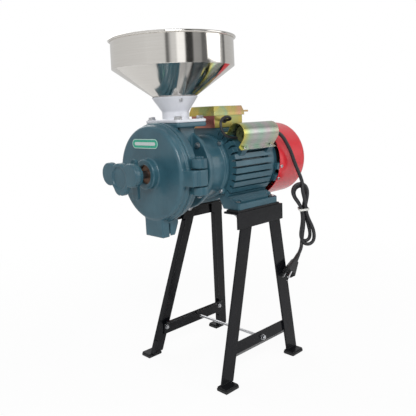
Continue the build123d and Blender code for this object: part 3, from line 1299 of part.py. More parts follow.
NODES = {
    "top_bar_near": top_bar(),
    "top_bar_far": mirrored(top_bar()),
    "leg_front_near": leg(FRONT_LEG_TOP, FRONT_LEG_FOOT, FRONT_PAD, 1),
    "leg_rear_near": leg(REAR_LEG_TOP, REAR_LEG_FOOT, REAR_PAD, 1),
    "leg_front_far": mirrored(leg(FRONT_LEG_TOP, FRONT_LEG_FOOT, FRONT_PAD, -1)),
    "leg_rear_far": mirrored(leg(REAR_LEG_TOP, REAR_LEG_FOOT, REAR_PAD, -1)),
    "brace_near": brace(-1),
    "brace_far": mirrored(brace(1)),
    "tie_rod": tie_rod(),
    "tie_nuts": tie_nuts(),
    "stand_bolts": stand_bolts(),
    "rubber_feet": rubber_feet(),
    "packing_strips": packing_strips(),
    "motor_foot_bolts": motor_foot_bolts(),
    "motor_frame": motor_frame(),
    "end_bell_front": end_bell_front(),
    "end_bell_rear": end_bell_rear(),
    "end_bell_bolts": end_bell_bolts(),
    "stator_core": stator_core(),
    "stator_windings": stator_windings(),
    "rotor_core": rotor_core(),
    "motor_shaft": motor_shaft(),
    "shaft_bearings": shaft_bearings(),
    "cooling_fan": cooling_fan(),
    "fan_cover": fan_cover(),
    "cover_screws": cover_screws(),
    "capacitor_cover": capacitor_cover(),
    "capacitors": capacitors(),
    "terminal_box": terminal_box(),
    "terminal_lid": terminal_lid(),
    "terminal_block": terminal_block(),
    "cable_grommets": cable_grommets(),
    "link_wire": link_wire(),
    "mill_housing": mill_housing(),
    "mill_door": mill_door(),
    "hinge_pin": hinge_pin(),
    "stationary_disc": stationary_disc(),
    "disc_screws": disc_screws(),
    "rotating_disc": rotating_disc(),
    "feed_auger": feed_auger(),
    "spindle_bush": spindle_bush(),
    "adjusting_spindle": adjusting_spindle(),
    "adjusting_knob": adjusting_knob(),
    "lock_nut": lock_nut(),
    "clamp_ear": clamp_ear(),
    "clamp_bolt": clamp_bolt(),
    "clamp_nut": clamp_nut(),
    "clamp_pin": clamp_pin(),
    "housing_bolts": housing_bolts(),
    "label_plate": label_plate(),
    "inlet_funnel": inlet_funnel(),
    "funnel_bolts": funnel_bolts(),
    "hopper": hopper(),
    "hopper_screws": hopper_screws(),
    "power_cord": power_cord(),
    "cord_hank": cord_hank(),
    "hank_tie": hank_tie(),
    "cord_tail": cord_tail(),
    "cord_plug": cord_plug(),
    "plug_blades": plug_blades(),
}

for name, shape in NODES.items():
    export_step(shape, f"parts/{name}.step")
    print(name, len(shape.solids()), round(shape.volume / 1000, 1), "cm3")
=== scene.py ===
import bpy
import bmesh
import json
import math
from mathutils import Matrix, Vector


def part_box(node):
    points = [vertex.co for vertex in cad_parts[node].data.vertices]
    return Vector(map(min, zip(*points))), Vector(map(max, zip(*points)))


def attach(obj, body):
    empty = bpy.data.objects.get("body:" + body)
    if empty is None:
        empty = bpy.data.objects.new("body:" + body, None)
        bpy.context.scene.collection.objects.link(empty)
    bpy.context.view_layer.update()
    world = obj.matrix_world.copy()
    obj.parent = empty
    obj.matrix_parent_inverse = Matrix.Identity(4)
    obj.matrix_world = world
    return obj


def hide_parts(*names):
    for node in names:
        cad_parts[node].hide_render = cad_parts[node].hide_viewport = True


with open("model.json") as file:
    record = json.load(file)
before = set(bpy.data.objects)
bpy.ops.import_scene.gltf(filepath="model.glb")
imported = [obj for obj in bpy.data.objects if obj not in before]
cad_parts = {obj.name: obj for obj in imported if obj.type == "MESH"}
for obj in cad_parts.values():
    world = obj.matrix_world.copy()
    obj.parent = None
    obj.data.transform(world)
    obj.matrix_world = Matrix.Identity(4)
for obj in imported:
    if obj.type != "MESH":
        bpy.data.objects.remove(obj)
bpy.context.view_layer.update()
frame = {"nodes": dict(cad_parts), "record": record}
nodes = frame["nodes"]
mm = 0.001
shaftMm = 446  # the shaft line above the floor
print("frame loaded,", len(nodes), "nodes")


def linear(hexColour):  # sRGB hex to the linear values that the shader wants
    parts = [int(hexColour[i:i + 2], 16) / 255 for i in (1, 3, 5)]
    return tuple(p / 12.92 if p <= 0.04045 else ((p + 0.055) / 1.055) ** 2.4 for p in parts) + (1.0,)


def addNode(tree, kind, settings=None, links=None):  # a node with its settings and what feeds it
    node = tree.nodes.new(kind)
    for key, value in (settings or {}).items():
        if key == "stops":
            ramp = node.color_ramp
            while len(ramp.elements) < len(value):
                ramp.elements.new(0.5)
            for element, (place, colour) in zip(ramp.elements, value):
                element.position = place
                element.color = linear(colour) if isinstance(colour, str) else (colour, colour, colour, 1)
        elif isinstance(key, int) or key in node.inputs:
            node.inputs[key].default_value = value
        else:
            setattr(node, key, value)
    for key, source in (links or {}).items():
        tree.links.new(source, node.inputs[key])
    return node


def newMaterial(name):  # an empty node tree with a Principled shader wired to the output
    material = bpy.data.materials.new(name)
    material.use_nodes = True
    tree = material.node_tree
    tree.nodes.clear()
    shader = addNode(tree, "ShaderNodeBsdfPrincipled")
    addNode(tree, "ShaderNodeOutputMaterial", {}, {"Surface": shader.outputs[0]})
    where = addNode(tree, "ShaderNodeTexCoord").outputs["Object"]
    return material, tree, shader, where


def noiseAt(tree, where, sizeMm, detail=2.0, stretch=(1, 1, 1)):  # noise whose grains are about sizeMm across
    turned = addNode(tree, "ShaderNodeMapping", {"Scale": stretch}, {"Vector": where})
    settings = {"Scale": 1 / (sizeMm * mm), "Detail": detail, "Roughness": 0.5}
    return addNode(tree, "ShaderNodeTexNoise", settings, {"Vector": turned.outputs[0]}).outputs[0]


def finishPaint(name, facts):  # sprayed paint over a casting or over steel
    material, tree, shader, where = newMaterial(name)
    cloud = noiseAt(tree, where, facts["cloudMm"])
    tint = addNode(tree, "ShaderNodeValToRGB", {"stops": facts["tints"]}, {0: cloud})
    tree.links.new(tint.outputs[0], shader.inputs["Base Color"])
    grain = noiseAt(tree, where, facts["grainMm"], 3.0)
    swell = noiseAt(tree, where, facts["swellMm"])
    edge = addNode(tree, "ShaderNodeBevel", {"samples": 4, "Radius": facts["edgeMm"] * mm})  # paint rounds every edge
    fine = addNode(
        tree, "ShaderNodeBump", {"Strength": facts["grainDepth"], "Distance": 0.4 * mm},
        {"Height": grain, "Normal": edge.outputs[0]},
    )
    soft = addNode(
        tree, "ShaderNodeBump", {"Strength": facts["swellDepth"], "Distance": 1.2 * mm},
        {"Height": swell, "Normal": fine.outputs[0]},
    )
    tree.links.new(soft.outputs[0], shader.inputs["Normal"])
    gloss = addNode(tree, "ShaderNodeMapRange", {3: facts["rough"][0], 4: facts["rough"][1]}, {0: grain})
    tree.links.new(gloss.outputs[0], shader.inputs["Roughness"])
    shader.inputs["Specular IOR Level"].default_value = facts["specular"]
    shader.inputs["Coat Weight"].default_value = facts["coat"]
    shader.inputs["Coat Roughness"].default_value = 0.18
    return material


castEnamel = {  # alkyd enamel sprayed over rough iron: satin, with a faint orange peel
    "cloudMm": 45, "tints": [(0.3, "#2c5260"), (0.7, "#365e6c")], "grainMm": 1.6, "swellMm": 14, "specular": 0.5,
    "grainDepth": 0.3, "swellDepth": 0.5, "rough": (0.26, 0.40), "coat": 0.2, "edgeMm": 1.4,
}
blackEnamel = {  # stoved black enamel on rolled steel: glossier, almost no texture
    "cloudMm": 60, "tints": [(0.3, "#0d0e11"), (0.7, "#131418")], "grainMm": 1.2, "swellMm": 25, "specular": 0.22,
    "grainDepth": 0.12, "swellDepth": 0.4, "rough": (0.14, 0.24), "coat": 0.05, "edgeMm": 1.6,
}
redEnamel = {  # gloss enamel on a thin pressing
    "cloudMm": 70, "tints": [(0.3, "#cf2631"), (0.7, "#d92f39")], "grainMm": 1.0, "swellMm": 22, "specular": 0.5,
    "grainDepth": 0.06, "swellDepth": 0.12, "rough": (0.20, 0.28), "coat": 0.35, "edgeMm": 0.6,
}
whiteEnamel = {  # white enamel on a small iron casting
    "cloudMm": 40, "tints": [(0.3, "#d7d9e0"), (0.7, "#dfe1e7")], "grainMm": 1.5, "swellMm": 14, "specular": 0.5,
    "grainDepth": 0.15, "swellDepth": 0.25, "rough": (0.32, 0.42), "coat": 0.1, "edgeMm": 1.0,
}


zincStreaks = {"sizeMm": 12, "stretch": (0.15, 1, 1), "depth": 0.1, "edgeMm": 0.8}  # the dip's faint runs


def finishZinc(name, facts):  # passivated zinc plate, whose film shifts from gold to green and rose
    material, tree, shader, where = newMaterial(name)
    turned = addNode(tree, "ShaderNodeMapping", {"Rotation": (facts["turn"], 0, 0)}, {"Vector": where})
    apart = addNode(tree, "ShaderNodeSeparateXYZ", {}, {0: turned.outputs[0]})
    drift = noiseAt(tree, where, facts["driftMm"], 3.0)
    shares = []
    for index, axis in enumerate("xyz"):  # how far the film runs along each axis
        low, high = facts[axis]
        settings = {1: low * mm, 2: high * mm, 4: facts[axis + "Share"]}
        shares.append(addNode(tree, "ShaderNodeMapRange", settings, {0: apart.outputs[index]}).outputs[0])
    first = addNode(tree, "ShaderNodeMath", {}, {0: shares[0], 1: shares[1]})
    second = addNode(tree, "ShaderNodeMath", {}, {0: first.outputs[0], 1: shares[2]})
    settings = {"operation": "MULTIPLY_ADD", 1: facts["wander"], 2: -facts["wander"] / 2}
    wander = addNode(tree, "ShaderNodeMath", settings, {0: drift})
    place = addNode(tree, "ShaderNodeMath", {}, {0: second.outputs[0], 1: wander.outputs[0]})
    film = addNode(tree, "ShaderNodeValToRGB", {"stops": facts["film"]}, {0: place.outputs[0]})
    tree.links.new(film.outputs[0], shader.inputs["Base Color"])
    shader.inputs["Metallic"].default_value = facts["metallic"]
    streak = noiseAt(tree, where, zincStreaks["sizeMm"], 2.0, zincStreaks["stretch"])
    rough = addNode(tree, "ShaderNodeMapRange", {3: facts["rough"][0], 4: facts["rough"][1]}, {0: streak})
    tree.links.new(rough.outputs[0], shader.inputs["Roughness"])
    edge = addNode(tree, "ShaderNodeBevel", {"samples": 4, "Radius": zincStreaks["edgeMm"] * mm})
    bump = addNode(
        tree, "ShaderNodeBump", {"Strength": zincStreaks["depth"], "Distance": 0.6 * mm},
        {"Height": streak, "Normal": edge.outputs[0]},
    )
    tree.links.new(bump.outputs[0], shader.inputs["Normal"])
    return material


zincBox = {  # rose on the front face, gold and green on the sides; film stops run over the sum of the shares
    "turn": 0, "driftMm": 26, "wander": 0.34, "rough": (0.24, 0.34), "metallic": 0.85,
    "x": (-20.4, -17), "xShare": 0.5, "y": (40, -40), "yShare": 0.3, "z": (528, 573), "zShare": 0.1,
    "film": [
        (0.0, "#b79a52"), (0.12, "#b5766a"), (0.3, "#a9655f"), (0.4, "#b3805f"), (0.5, "#9d9149"), (0.66, "#8f8f4e"),
        (0.78, "#a99a53"), (0.88, "#86996a"), (1.0, "#a19a58"),
    ],
}
zincCover = {  # gold at the open end, then a pale film of green and rose
    "turn": -0.64, "driftMm": 60, "wander": 0.14, "rough": (0.2, 0.28), "metallic": 0.8,
    "x": (-7, 107), "xShare": 0.8, "y": (-60, 10), "yShare": 0.2, "z": (330, 400), "zShare": 0.0,
    "film": [
        (0.0, "#c8a94c"), (0.07, "#a9b45a"), (0.14, "#d2b956"), (0.24, "#bcbd72"), (0.34, "#a6b9a2"), (0.46, "#b6b3b2"),
        (0.6, "#9fb8a8"), (0.75, "#bdb2b4"), (0.88, "#a9b8a4"), (1.0, "#c3b4a4"),
    ],
}
zincLid = {  # gold and green clouds
    "turn": 0, "driftMm": 34, "wander": 0.5, "rough": (0.2, 0.3), "metallic": 0.85,
    "x": (-26, 76), "xShare": 0.5, "y": (34, -36), "yShare": 0.3, "z": (556, 573), "zShare": 0.0,
    "film": [
        (0.0, "#c9b15c"), (0.15, "#8f9a63"), (0.3, "#a89b52"), (0.45, "#7f9374"), (0.6, "#a3955a"), (0.72, "#b58a6c"),
        (0.85, "#94985c"), (1.0, "#bba65c"),
    ],
}


def finishMetal(name, facts):  # bare or plated metal with a tool's or a brush's marks
    material, tree, shader, where = newMaterial(name)
    marks = noiseAt(tree, where, facts["markMm"], 3.0, facts["stretch"])
    tint = addNode(tree, "ShaderNodeValToRGB", {"stops": facts["tints"]}, {0: marks})
    tree.links.new(tint.outputs[0], shader.inputs["Base Color"])
    shader.inputs["Metallic"].default_value = 1.0
    rough = addNode(tree, "ShaderNodeMapRange", {3: facts["rough"][0], 4: facts["rough"][1]}, {0: marks})
    tree.links.new(rough.outputs[0], shader.inputs["Roughness"])
    bump = addNode(tree, "ShaderNodeBump", {"Strength": facts["depth"], "Distance": 0.2 * mm}, {"Height": marks})
    tree.links.new(bump.outputs[0], shader.inputs["Normal"])
    return material


stainless = {  # spun sheet, polished: long faint lines round it, drawn wider than the real ones so that they show
    "markMm": 4, "stretch": (0.05, 0.05, 6),
    "tints": [(0.2, "#dcd8d2"), (0.8, "#e7e4df")], "rough": (0.07, 0.12), "depth": 0.02,
}
brightZinc = {  # plated fasteners: bright, a little cloudy
    "markMm": 1.5, "stretch": (1, 1, 1),
    "tints": [(0.2, "#b9babd"), (0.8, "#cfd0d2")], "rough": (0.22, 0.36), "depth": 0.1,
}
turnedSteel = {  # bare steel with fine rings from the lathe
    "markMm": 1.0, "stretch": (8, 1, 1),
    "tints": [(0.2, "#8c8c8f"), (0.8, "#a3a3a6")], "rough": (0.25, 0.4), "depth": 0.1,
}
groundIron = {  # grey iron, ground: dark and dull
    "markMm": 2.0, "stretch": (1, 1, 1),
    "tints": [(0.2, "#57575a"), (0.8, "#6d6d70")], "rough": (0.4, 0.6), "depth": 0.3,
}
dullBronze = {  # bronze gone brown in use
    "markMm": 2.0, "stretch": (4, 1, 1),
    "tints": [(0.2, "#6a5246"), (0.8, "#8a7060")], "rough": (0.4, 0.6), "depth": 0.2,
}
copperWire = {  # varnished copper, laid in turns
    "markMm": 1.2, "stretch": (1, 6, 6),
    "tints": [(0.2, "#9c5a32"), (0.8, "#c07a4a")], "rough": (0.3, 0.5), "depth": 0.5,
}
canAluminium = {  # drawn aluminium: pale and satin
    "markMm": 1.5, "stretch": (1, 5, 5),
    "tints": [(0.2, "#a2a3a5"), (0.8, "#b5b6b8")], "rough": (0.3, 0.45), "depth": 0.1,
}


def finishPlastic(name, facts):  # moulded rubber or plastic
    material, tree, shader, where = newMaterial(name)
    speck = noiseAt(tree, where, facts["grainMm"], 3.0)
    tint = addNode(tree, "ShaderNodeValToRGB", {"stops": facts["tints"]}, {0: speck})
    tree.links.new(tint.outputs[0], shader.inputs["Base Color"])
    rough = addNode(tree, "ShaderNodeMapRange", {3: facts["rough"][0], 4: facts["rough"][1]}, {0: speck})
    tree.links.new(rough.outputs[0], shader.inputs["Roughness"])
    bump = addNode(tree, "ShaderNodeBump", {"Strength": facts["depth"], "Distance": 0.2 * mm}, {"Height": speck})
    tree.links.new(bump.outputs[0], shader.inputs["Normal"])
    return material


footRubber = {  # moulded rubber: dull, almost no gloss; its grain is drawn coarse enough to show
    "grainMm": 1.2, "tints": [(0.2, "#1c1c1d"), (0.8, "#28282a")],
    "rough": (0.6, 0.8), "depth": 0.4,
}
cordRubber = {  # extruded rubber: a soft sheen along it
    "grainMm": 1.0, "tints": [(0.2, "#1f1f22"), (0.8, "#2a2a2e")],
    "rough": (0.42, 0.55), "depth": 0.2,
}
plugPlastic = {  # moulded nylon, a little glossier
    "grainMm": 0.9, "tints": [(0.2, "#1b1b1d"), (0.8, "#252527")],
    "rough": (0.35, 0.5), "depth": 0.2,
}
tiePlastic = {  # white tie, smooth
    "grainMm": 1.0, "tints": [(0.2, "#d8d8d4"), (0.8, "#e6e6e2")],
    "rough": (0.4, 0.55), "depth": 0.2,
}
labelFilm = {  # printed film, smooth and glossy
    "grainMm": 2.0, "tints": [(0.2, "#26a083"), (0.8, "#2bab8c")],
    "rough": (0.25, 0.3), "depth": 0.05,
}
rimFilm = {  # silvered film round the label
    "grainMm": 1.5, "tints": [(0.2, "#a9c9c2"), (0.8, "#bfd8d2")],
    "rough": (0.2, 0.3), "depth": 0.05,
}
paintedReflectionOnCan = {  # painted reflection and shade: a dull olive on the aluminium can stands in for the cover's gold zinc seen on it in the shaded mouth
    "grainMm": 4.0, "tints": [(0.2, "#5f623f"), (0.8, "#6e7149")],
    "rough": (0.4, 0.55), "depth": 0.05,
}
lensFilm = {  # clear resin with a pale ground
    "grainMm": 3.0, "tints": [(0.2, "#c3cfce"), (0.8, "#d3dcdb")],
    "rough": (0.08, 0.15), "depth": 0.03,
}

finishes = {
    "teal_paint": finishPaint("alkydEnamelOnIron", castEnamel),
    "black_paint": finishPaint("stovedEnamelOnSteel", blackEnamel),
    "red_paint": finishPaint("glossEnamelOnPressing", redEnamel),
    "white_paint": finishPaint("whiteEnamelOnIron", whiteEnamel),
    "stainless": finishMetal("polishedStainless", stainless),
    "yellow_zinc": finishZinc("yellowPassivatedZinc", zincBox),
    "zinc": finishMetal("brightZincPlate", brightZinc),
    "black_rubber": finishPlastic("mouldedRubber", footRubber),
    "cord_rubber": finishPlastic("extrudedRubber", cordRubber),
    "cast_iron": finishMetal("groundIron", groundIron),
    "steel": finishMetal("turnedSteel", turnedSteel),
    "bronze": finishMetal("dullBronze", dullBronze),
    "copper": finishMetal("varnishedCopper", copperWire),
    "black_plastic": finishPlastic("mouldedNylon", plugPlastic),
    "can_aluminium": finishMetal("drawnAluminium", canAluminium),
    "label": finishPlastic("printedFilm", labelFilm),
    "white_plastic": finishPlastic("wireTiePlastic", tiePlastic),
    "labelRim": finishPlastic("silveredFilm", rimFilm),
    "labelLens": finishPlastic("clearResin", lensFilm),
}
slotOf = {entry["node"]: entry["material_slot"] for entry in frame["record"]["subparts"]}
special = {  # nodes whose finish isn't their slot's
    "capacitor_cover": finishZinc("yellowPassivatedCover", zincCover),
    "terminal_lid": finishZinc("yellowPassivatedLid", zincLid),
    # the can's olive is painted reflection and shade, not the can's own colour
    "capacitors": finishPlastic("canPaintedReflection", paintedReflectionOnCan),
    "hinge_pin": finishes["teal_paint"],
}
for name, piece in nodes.items():
    piece.data.materials.clear()
    piece.data.materials.append(special.get(name, finishes[slotOf[name]]))
print("materials made")


def linked(name, mesh, slotName, body, material=None):  # a finished mesh as a piece that rides on a body
    piece = bpy.data.objects.new(name, mesh)
    bpy.context.scene.collection.objects.link(piece)
    mesh.materials.clear()
    mesh.materials.append(material or finishes[slotName])
    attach(piece, body)
    return piece


def spun(name, outline, centre, segments=128, sharpAngle=35):  # a closed outline of (radius, height) turned about Z
    mesh = bpy.data.meshes.new(name)
    build = bmesh.new()
    rings = []
    for step in range(segments):
        angle = 2 * math.pi * step / segments
        ring = [build.verts.new((r * math.cos(angle), r * math.sin(angle), h)) for r, h in outline]
        rings.append(ring)
    for step in range(segments):
        here, there = rings[step], rings[(step + 1) % segments]
        for i in range(len(outline)):
            j = (i + 1) % len(outline)
            build.faces.new((here[i], there[i], there[j], here[j]))
    bmesh.ops.recalc_face_normals(build, faces=build.faces)
    build.to_mesh(mesh)
    build.free()
    mesh.transform(centre)
    mesh.shade_smooth()
    mesh.set_sharp_from_angle(angle=math.radians(sharpAngle))
    return mesh


hopperFacts = {
    "x": -97, "rim": 122.5, "top": 707, "shoulder": 650, "cone": 594, "collar": 43.7, "footR": 36.8, "foot": 584,
    "wall": 1.0, "bead": 2.4,
}


def hopperOutline(facts):  # collar, cone, wall and rolled rim, out along one face and back along the other
    rim, wall, bead, shoulder = facts["rim"], facts["wall"], facts["bead"], facts["shoulder"]
    beadR, beadZ = rim + bead - wall, facts["top"] - bead
    outer = [(facts["footR"], facts["foot"]), (facts["collar"], facts["cone"])]
    outer = outer + [(rim - 1.4, shoulder - 1.0), (rim - 0.4, shoulder - 0.3), (rim, shoulder + 1.0)]
    rolled = [math.radians(200 + 20 * k) for k in range(17)]
    turn = [(beadR + bead * math.cos(a), beadZ + bead * math.sin(a)) for a in rolled]
    inner = [(rim - wall, beadZ), (rim - wall, shoulder + 0.6), (facts["collar"] - wall, facts["cone"] + 0.5)]
    inner = inner + [(facts["footR"] - wall, facts["foot"])]
    return [(r * mm, z * mm) for r, z in outer + turn + inner]


hopperPlace = Matrix.Translation((hopperFacts["x"] * mm, 0, 0))
hopper = linked("spun_hopper", spun("spunHopper", hopperOutline(hopperFacts), hopperPlace), "stainless", "mill")
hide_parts("hopper")
print("hopper spun")


def castCopy(name, node, voxelMm, passes, slotName, body):  # a CAD node with the soft corners of a casting
    mesh = nodes[node].data.copy()
    build = bmesh.new()
    build.from_mesh(mesh)
    bmesh.ops.remove_doubles(build, verts=build.verts, dist=1e-5)
    build.to_mesh(mesh)
    build.free()
    source = bpy.data.objects.new(name + "Source", mesh)
    bpy.context.scene.collection.objects.link(source)
    remesh = source.modifiers.new("voxels", "REMESH")
    remesh.mode = "VOXEL"
    remesh.voxel_size = voxelMm * mm
    smooth = source.modifiers.new("soften", "SMOOTH")
    smooth.factor = 0.5
    smooth.iterations = passes
    evaluated = source.evaluated_get(bpy.context.evaluated_depsgraph_get())
    soft = bpy.data.meshes.new_from_object(evaluated)
    bpy.data.objects.remove(source)
    soft.name = name
    soft.shade_smooth()
    piece = linked(name, soft, slotName, body)
    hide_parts(node)
    print(name, len(soft.polygons), "faces")
    return piece


castings = {  # node, voxel in mm, smoothing passes, slot and body
    "cast_door": ("mill_door", 1.4, 5, "teal_paint", "door"),
    "cast_housing": ("mill_housing", 1.6, 5, "teal_paint", "mill"),
    "cast_knob": ("adjusting_knob", 0.9, 6, "teal_paint", "knob"),
    "cast_lock_nut": ("lock_nut", 0.5, 3, "teal_paint", "lock"),
    "cast_end_bell": ("end_bell_front", 1.6, 5, "teal_paint", "mill"),
    "cast_funnel": ("inlet_funnel", 1.2, 4, "white_paint", "mill"),
}
for name, (node, voxel, passes, slotName, body) in castings.items():
    castCopy(name, node, voxel, passes, slotName, body)
print("castings softened")


def times(tree, source, factor):  # a size in a node tree, scaled
    return addNode(tree, "ShaderNodeMath", {"operation": "MULTIPLY", 1: factor}, {0: source}).outputs[0]


def moved(tree, mesh, height):  # a mesh in a node tree, lifted along Z
    up = addNode(tree, "ShaderNodeCombineXYZ", {}, {2: height})
    return addNode(tree, "GeometryNodeTransform", {}, {"Geometry": mesh, "Translation": up.outputs[0]}).outputs[0]


def hexTree():  # hex heads on washers, one at each point, along the point's aim and turned a little at random
    tree = bpy.data.node_groups.new("hexHeads", "GeometryNodeTree")
    tree.interface.new_socket("Geometry", in_out="INPUT", socket_type="NodeSocketGeometry")
    tree.interface.new_socket("Radius", in_out="INPUT", socket_type="NodeSocketFloat")
    tree.interface.new_socket("Shank", in_out="INPUT", socket_type="NodeSocketFloat")
    tree.interface.new_socket("Material", in_out="INPUT", socket_type="NodeSocketMaterial")
    tree.interface.new_socket("Geometry", in_out="OUTPUT", socket_type="NodeSocketGeometry")
    given = addNode(tree, "NodeGroupInput").outputs
    radius, shank = given["Radius"], given["Shank"]
    washer = addNode(
        tree, "GeometryNodeMeshCylinder", {"Vertices": 40},
        {"Radius": times(tree, radius, 2.1), "Depth": times(tree, radius, 0.4)},
    )
    head = addNode(
        tree, "GeometryNodeMeshCylinder", {"Vertices": 6},
        {"Radius": times(tree, radius, 1.85), "Depth": times(tree, radius, 1.1)},
    )
    crownSizes = {"Radius Bottom": 1.6, "Radius Top": 1.3, "Depth": 0.2}
    crown = addNode(
        tree, "GeometryNodeMeshCone", {"Vertices": 40},
        {key: times(tree, radius, share) for key, share in crownSizes.items()},
    )
    rod = addNode(tree, "GeometryNodeMeshCylinder", {"Vertices": 32}, {"Radius": radius, "Depth": shank})
    joined = addNode(tree, "GeometryNodeJoinGeometry")
    tree.links.new(moved(tree, washer.outputs[0], times(tree, radius, 0.2)), joined.inputs[0])
    tree.links.new(moved(tree, head.outputs[0], times(tree, radius, 0.95)), joined.inputs[0])
    tree.links.new(moved(tree, crown.outputs[0], times(tree, radius, 1.49)), joined.inputs[0])
    tree.links.new(moved(tree, rod.outputs[0], times(tree, shank, -0.5)), joined.inputs[0])
    aim = addNode(tree, "GeometryNodeInputNamedAttribute", {"data_type": "FLOAT_VECTOR", "Name": "aim"})
    turned = addNode(tree, "FunctionNodeAlignRotationToVector", {"axis": "Z"}, {"Vector": aim.outputs[0]})
    placed = addNode(
        tree, "GeometryNodeInstanceOnPoints", {},
        {"Points": given["Geometry"], "Instance": joined.outputs[0], "Rotation": turned.outputs[0]},
    )
    chance = addNode(tree, "FunctionNodeRandomValue", {"data_type": "FLOAT", "Seed": 5})
    spin = addNode(tree, "ShaderNodeCombineXYZ", {}, {2: chance.outputs[1]})
    loose = addNode(
        tree, "GeometryNodeRotateInstances", {}, {"Instances": placed.outputs[0], "Rotation": spin.outputs[0]}
    )
    real = addNode(tree, "GeometryNodeRealizeInstances", {}, {0: loose.outputs[0]})
    dressed = addNode(
        tree, "GeometryNodeSetMaterial", {}, {"Geometry": real.outputs[0], "Material": given["Material"]}
    )
    addNode(tree, "NodeGroupOutput", {}, {0: dressed.outputs[0]})
    return tree


def hexHeads(name, tree, facts):  # one node's bolts as a plain mesh
    whole = bmesh.new()
    for places, aims, radiusMm, shankMm in facts:
        points = bpy.data.meshes.new(name + "Points")
        points.from_pydata([[c * mm for c in place] for place in places], [], [])
        aim = points.attributes.new("aim", "FLOAT_VECTOR", "POINT")
        for index, way in enumerate(aims):
            aim.data[index].vector = way
        source = bpy.data.objects.new(name + "Source", points)
        bpy.context.scene.collection.objects.link(source)
        nodesOn = source.modifiers.new("heads", "NODES")
        nodesOn.node_group = tree
        settings = {"Radius": radiusMm * mm, "Shank": shankMm * mm, "Material": finishes["zinc"]}
        for socket in tree.interface.items_tree:
            if socket.in_out == "INPUT" and socket.name in settings:
                nodesOn[socket.identifier] = settings[socket.name]
        evaluated = source.evaluated_get(bpy.context.evaluated_depsgraph_get())
        made = bpy.data.meshes.new_from_object(evaluated)
        whole.from_mesh(made)
        bpy.data.objects.remove(source)
    mesh = bpy.data.meshes.new(name)
    whole.to_mesh(mesh)
    whole.free()
    mesh.shade_smooth()
    mesh.set_sharp_from_angle(angle=math.radians(28))
    return mesh


def ringPlaces(x, radiusMm, firstDegrees=45):  # four places round the shaft line
    angles = [math.radians(firstDegrees + 90 * k) for k in range(4)]
    return [(x, radiusMm * math.cos(a), shaftMm + radiusMm * math.sin(a)) for a in angles]


plateFacts = {"footX": (-2, 107.5), "footY": (-75, 75), "funnelX": (-126.85, -67.15), "funnelY": (-39.95, 39.95)}
footXY = [(x, y) for x in plateFacts["footX"] for y in plateFacts["footY"]]
funnelXY = [(x, y) for x in plateFacts["funnelX"] for y in plateFacts["funnelY"]]
legFacts = {
    "lean": 23, "rise": 307.5, "topY": -93, "topZ": 317.5, "inside": 7, "boltDown": 254.2, "boltX": (-65.83, 113.23),
}
slope = Vector((0, legFacts["lean"], legFacts["rise"])).normalized()  # up the near legs' outer faces
inward = Vector((0, legFacts["rise"], -legFacts["lean"])).normalized()
outward = Vector((0, -inward.y, inward.z))
offset = inward * legFacts["inside"] - slope * legFacts["boltDown"]
standNear = [Vector((x, legFacts["topY"], legFacts["topZ"])) + offset for x in legFacts["boltX"]]
standFar = [Vector((place.x, -place.y, place.z)) for place in standNear]
up, down, toMill, toFan = (0, 0, 1), (0, 0, -1), (-1, 0, 0), (1, 0, 0)
boltFacts = {  # each row: places in mm, aims, shank radius and length in mm
    "motor_foot_bolts": [
        ([(x, y, 366) for x, y in footXY], [up] * 4, 4, 27.5), ([(x, y, 348.5) for x, y in footXY], [down] * 4, 4, 0.5),
    ],
    "funnel_bolts": [([(x, y, 549) for x, y in funnelXY], [up] * 4, 4, 15)],
    "stand_bolts": [(standNear + standFar, [inward] * 2 + [outward] * 2, 2.5, 6)],
    "housing_bolts": [(ringPlaces(-87, 71.5), [toMill] * 4, 3, 17)],
    "end_bell_bolts": [
        (ringPlaces(-24, 70.5), [toMill] * 4, 2, 20), (ringPlaces(137, 70.5), [toFan] * 4, 2, 23),
    ],
}
hexGroup = hexTree()
for name, facts in boltFacts.items():
    heads = linked("hex_" + name, hexHeads("hex_" + name, hexGroup, facts), "zinc", "mill")
    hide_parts(name)
print("bolts placed")


def slab(name, outline, back, front, hole=None):  # a flat closed shape between two X planes, with an optional hole
    build = bmesh.new()
    loops = [loop for loop in (outline, hole) if loop]
    rings = [[build.verts.new((x, y, z)) for y, z in loop] for loop in loops for x in (back, front)]
    count = len(outline)
    for k in range(count):
        j = (k + 1) % count
        build.faces.new((rings[0][k], rings[0][j], rings[1][j], rings[1][k]))
        if hole:
            build.faces.new((rings[2][k], rings[3][k], rings[3][j], rings[2][j]))
            build.faces.new((rings[1][k], rings[1][j], rings[3][j], rings[3][k]))
            build.faces.new((rings[0][k], rings[2][k], rings[2][j], rings[0][j]))
    if not hole:
        build.faces.new(rings[0])
        build.faces.new(rings[1])
    bmesh.ops.recalc_face_normals(build, faces=build.faces)
    mesh = bpy.data.meshes.new(name)
    build.to_mesh(mesh)
    build.free()
    return mesh


def pill(centreY, centreZ, halfY, halfZ, steps=12):  # a rounded bar's outline
    loop = []
    for corner, side in enumerate((1, -1, -1, 1)):
        for step in range(steps):
            angle = math.radians(90 * corner + 90 * step / (steps - 1))
            endY = centreY + side * (halfY - halfZ)
            loop.append((endY + halfZ * math.cos(angle), centreZ + halfZ * math.sin(angle)))
    return loop


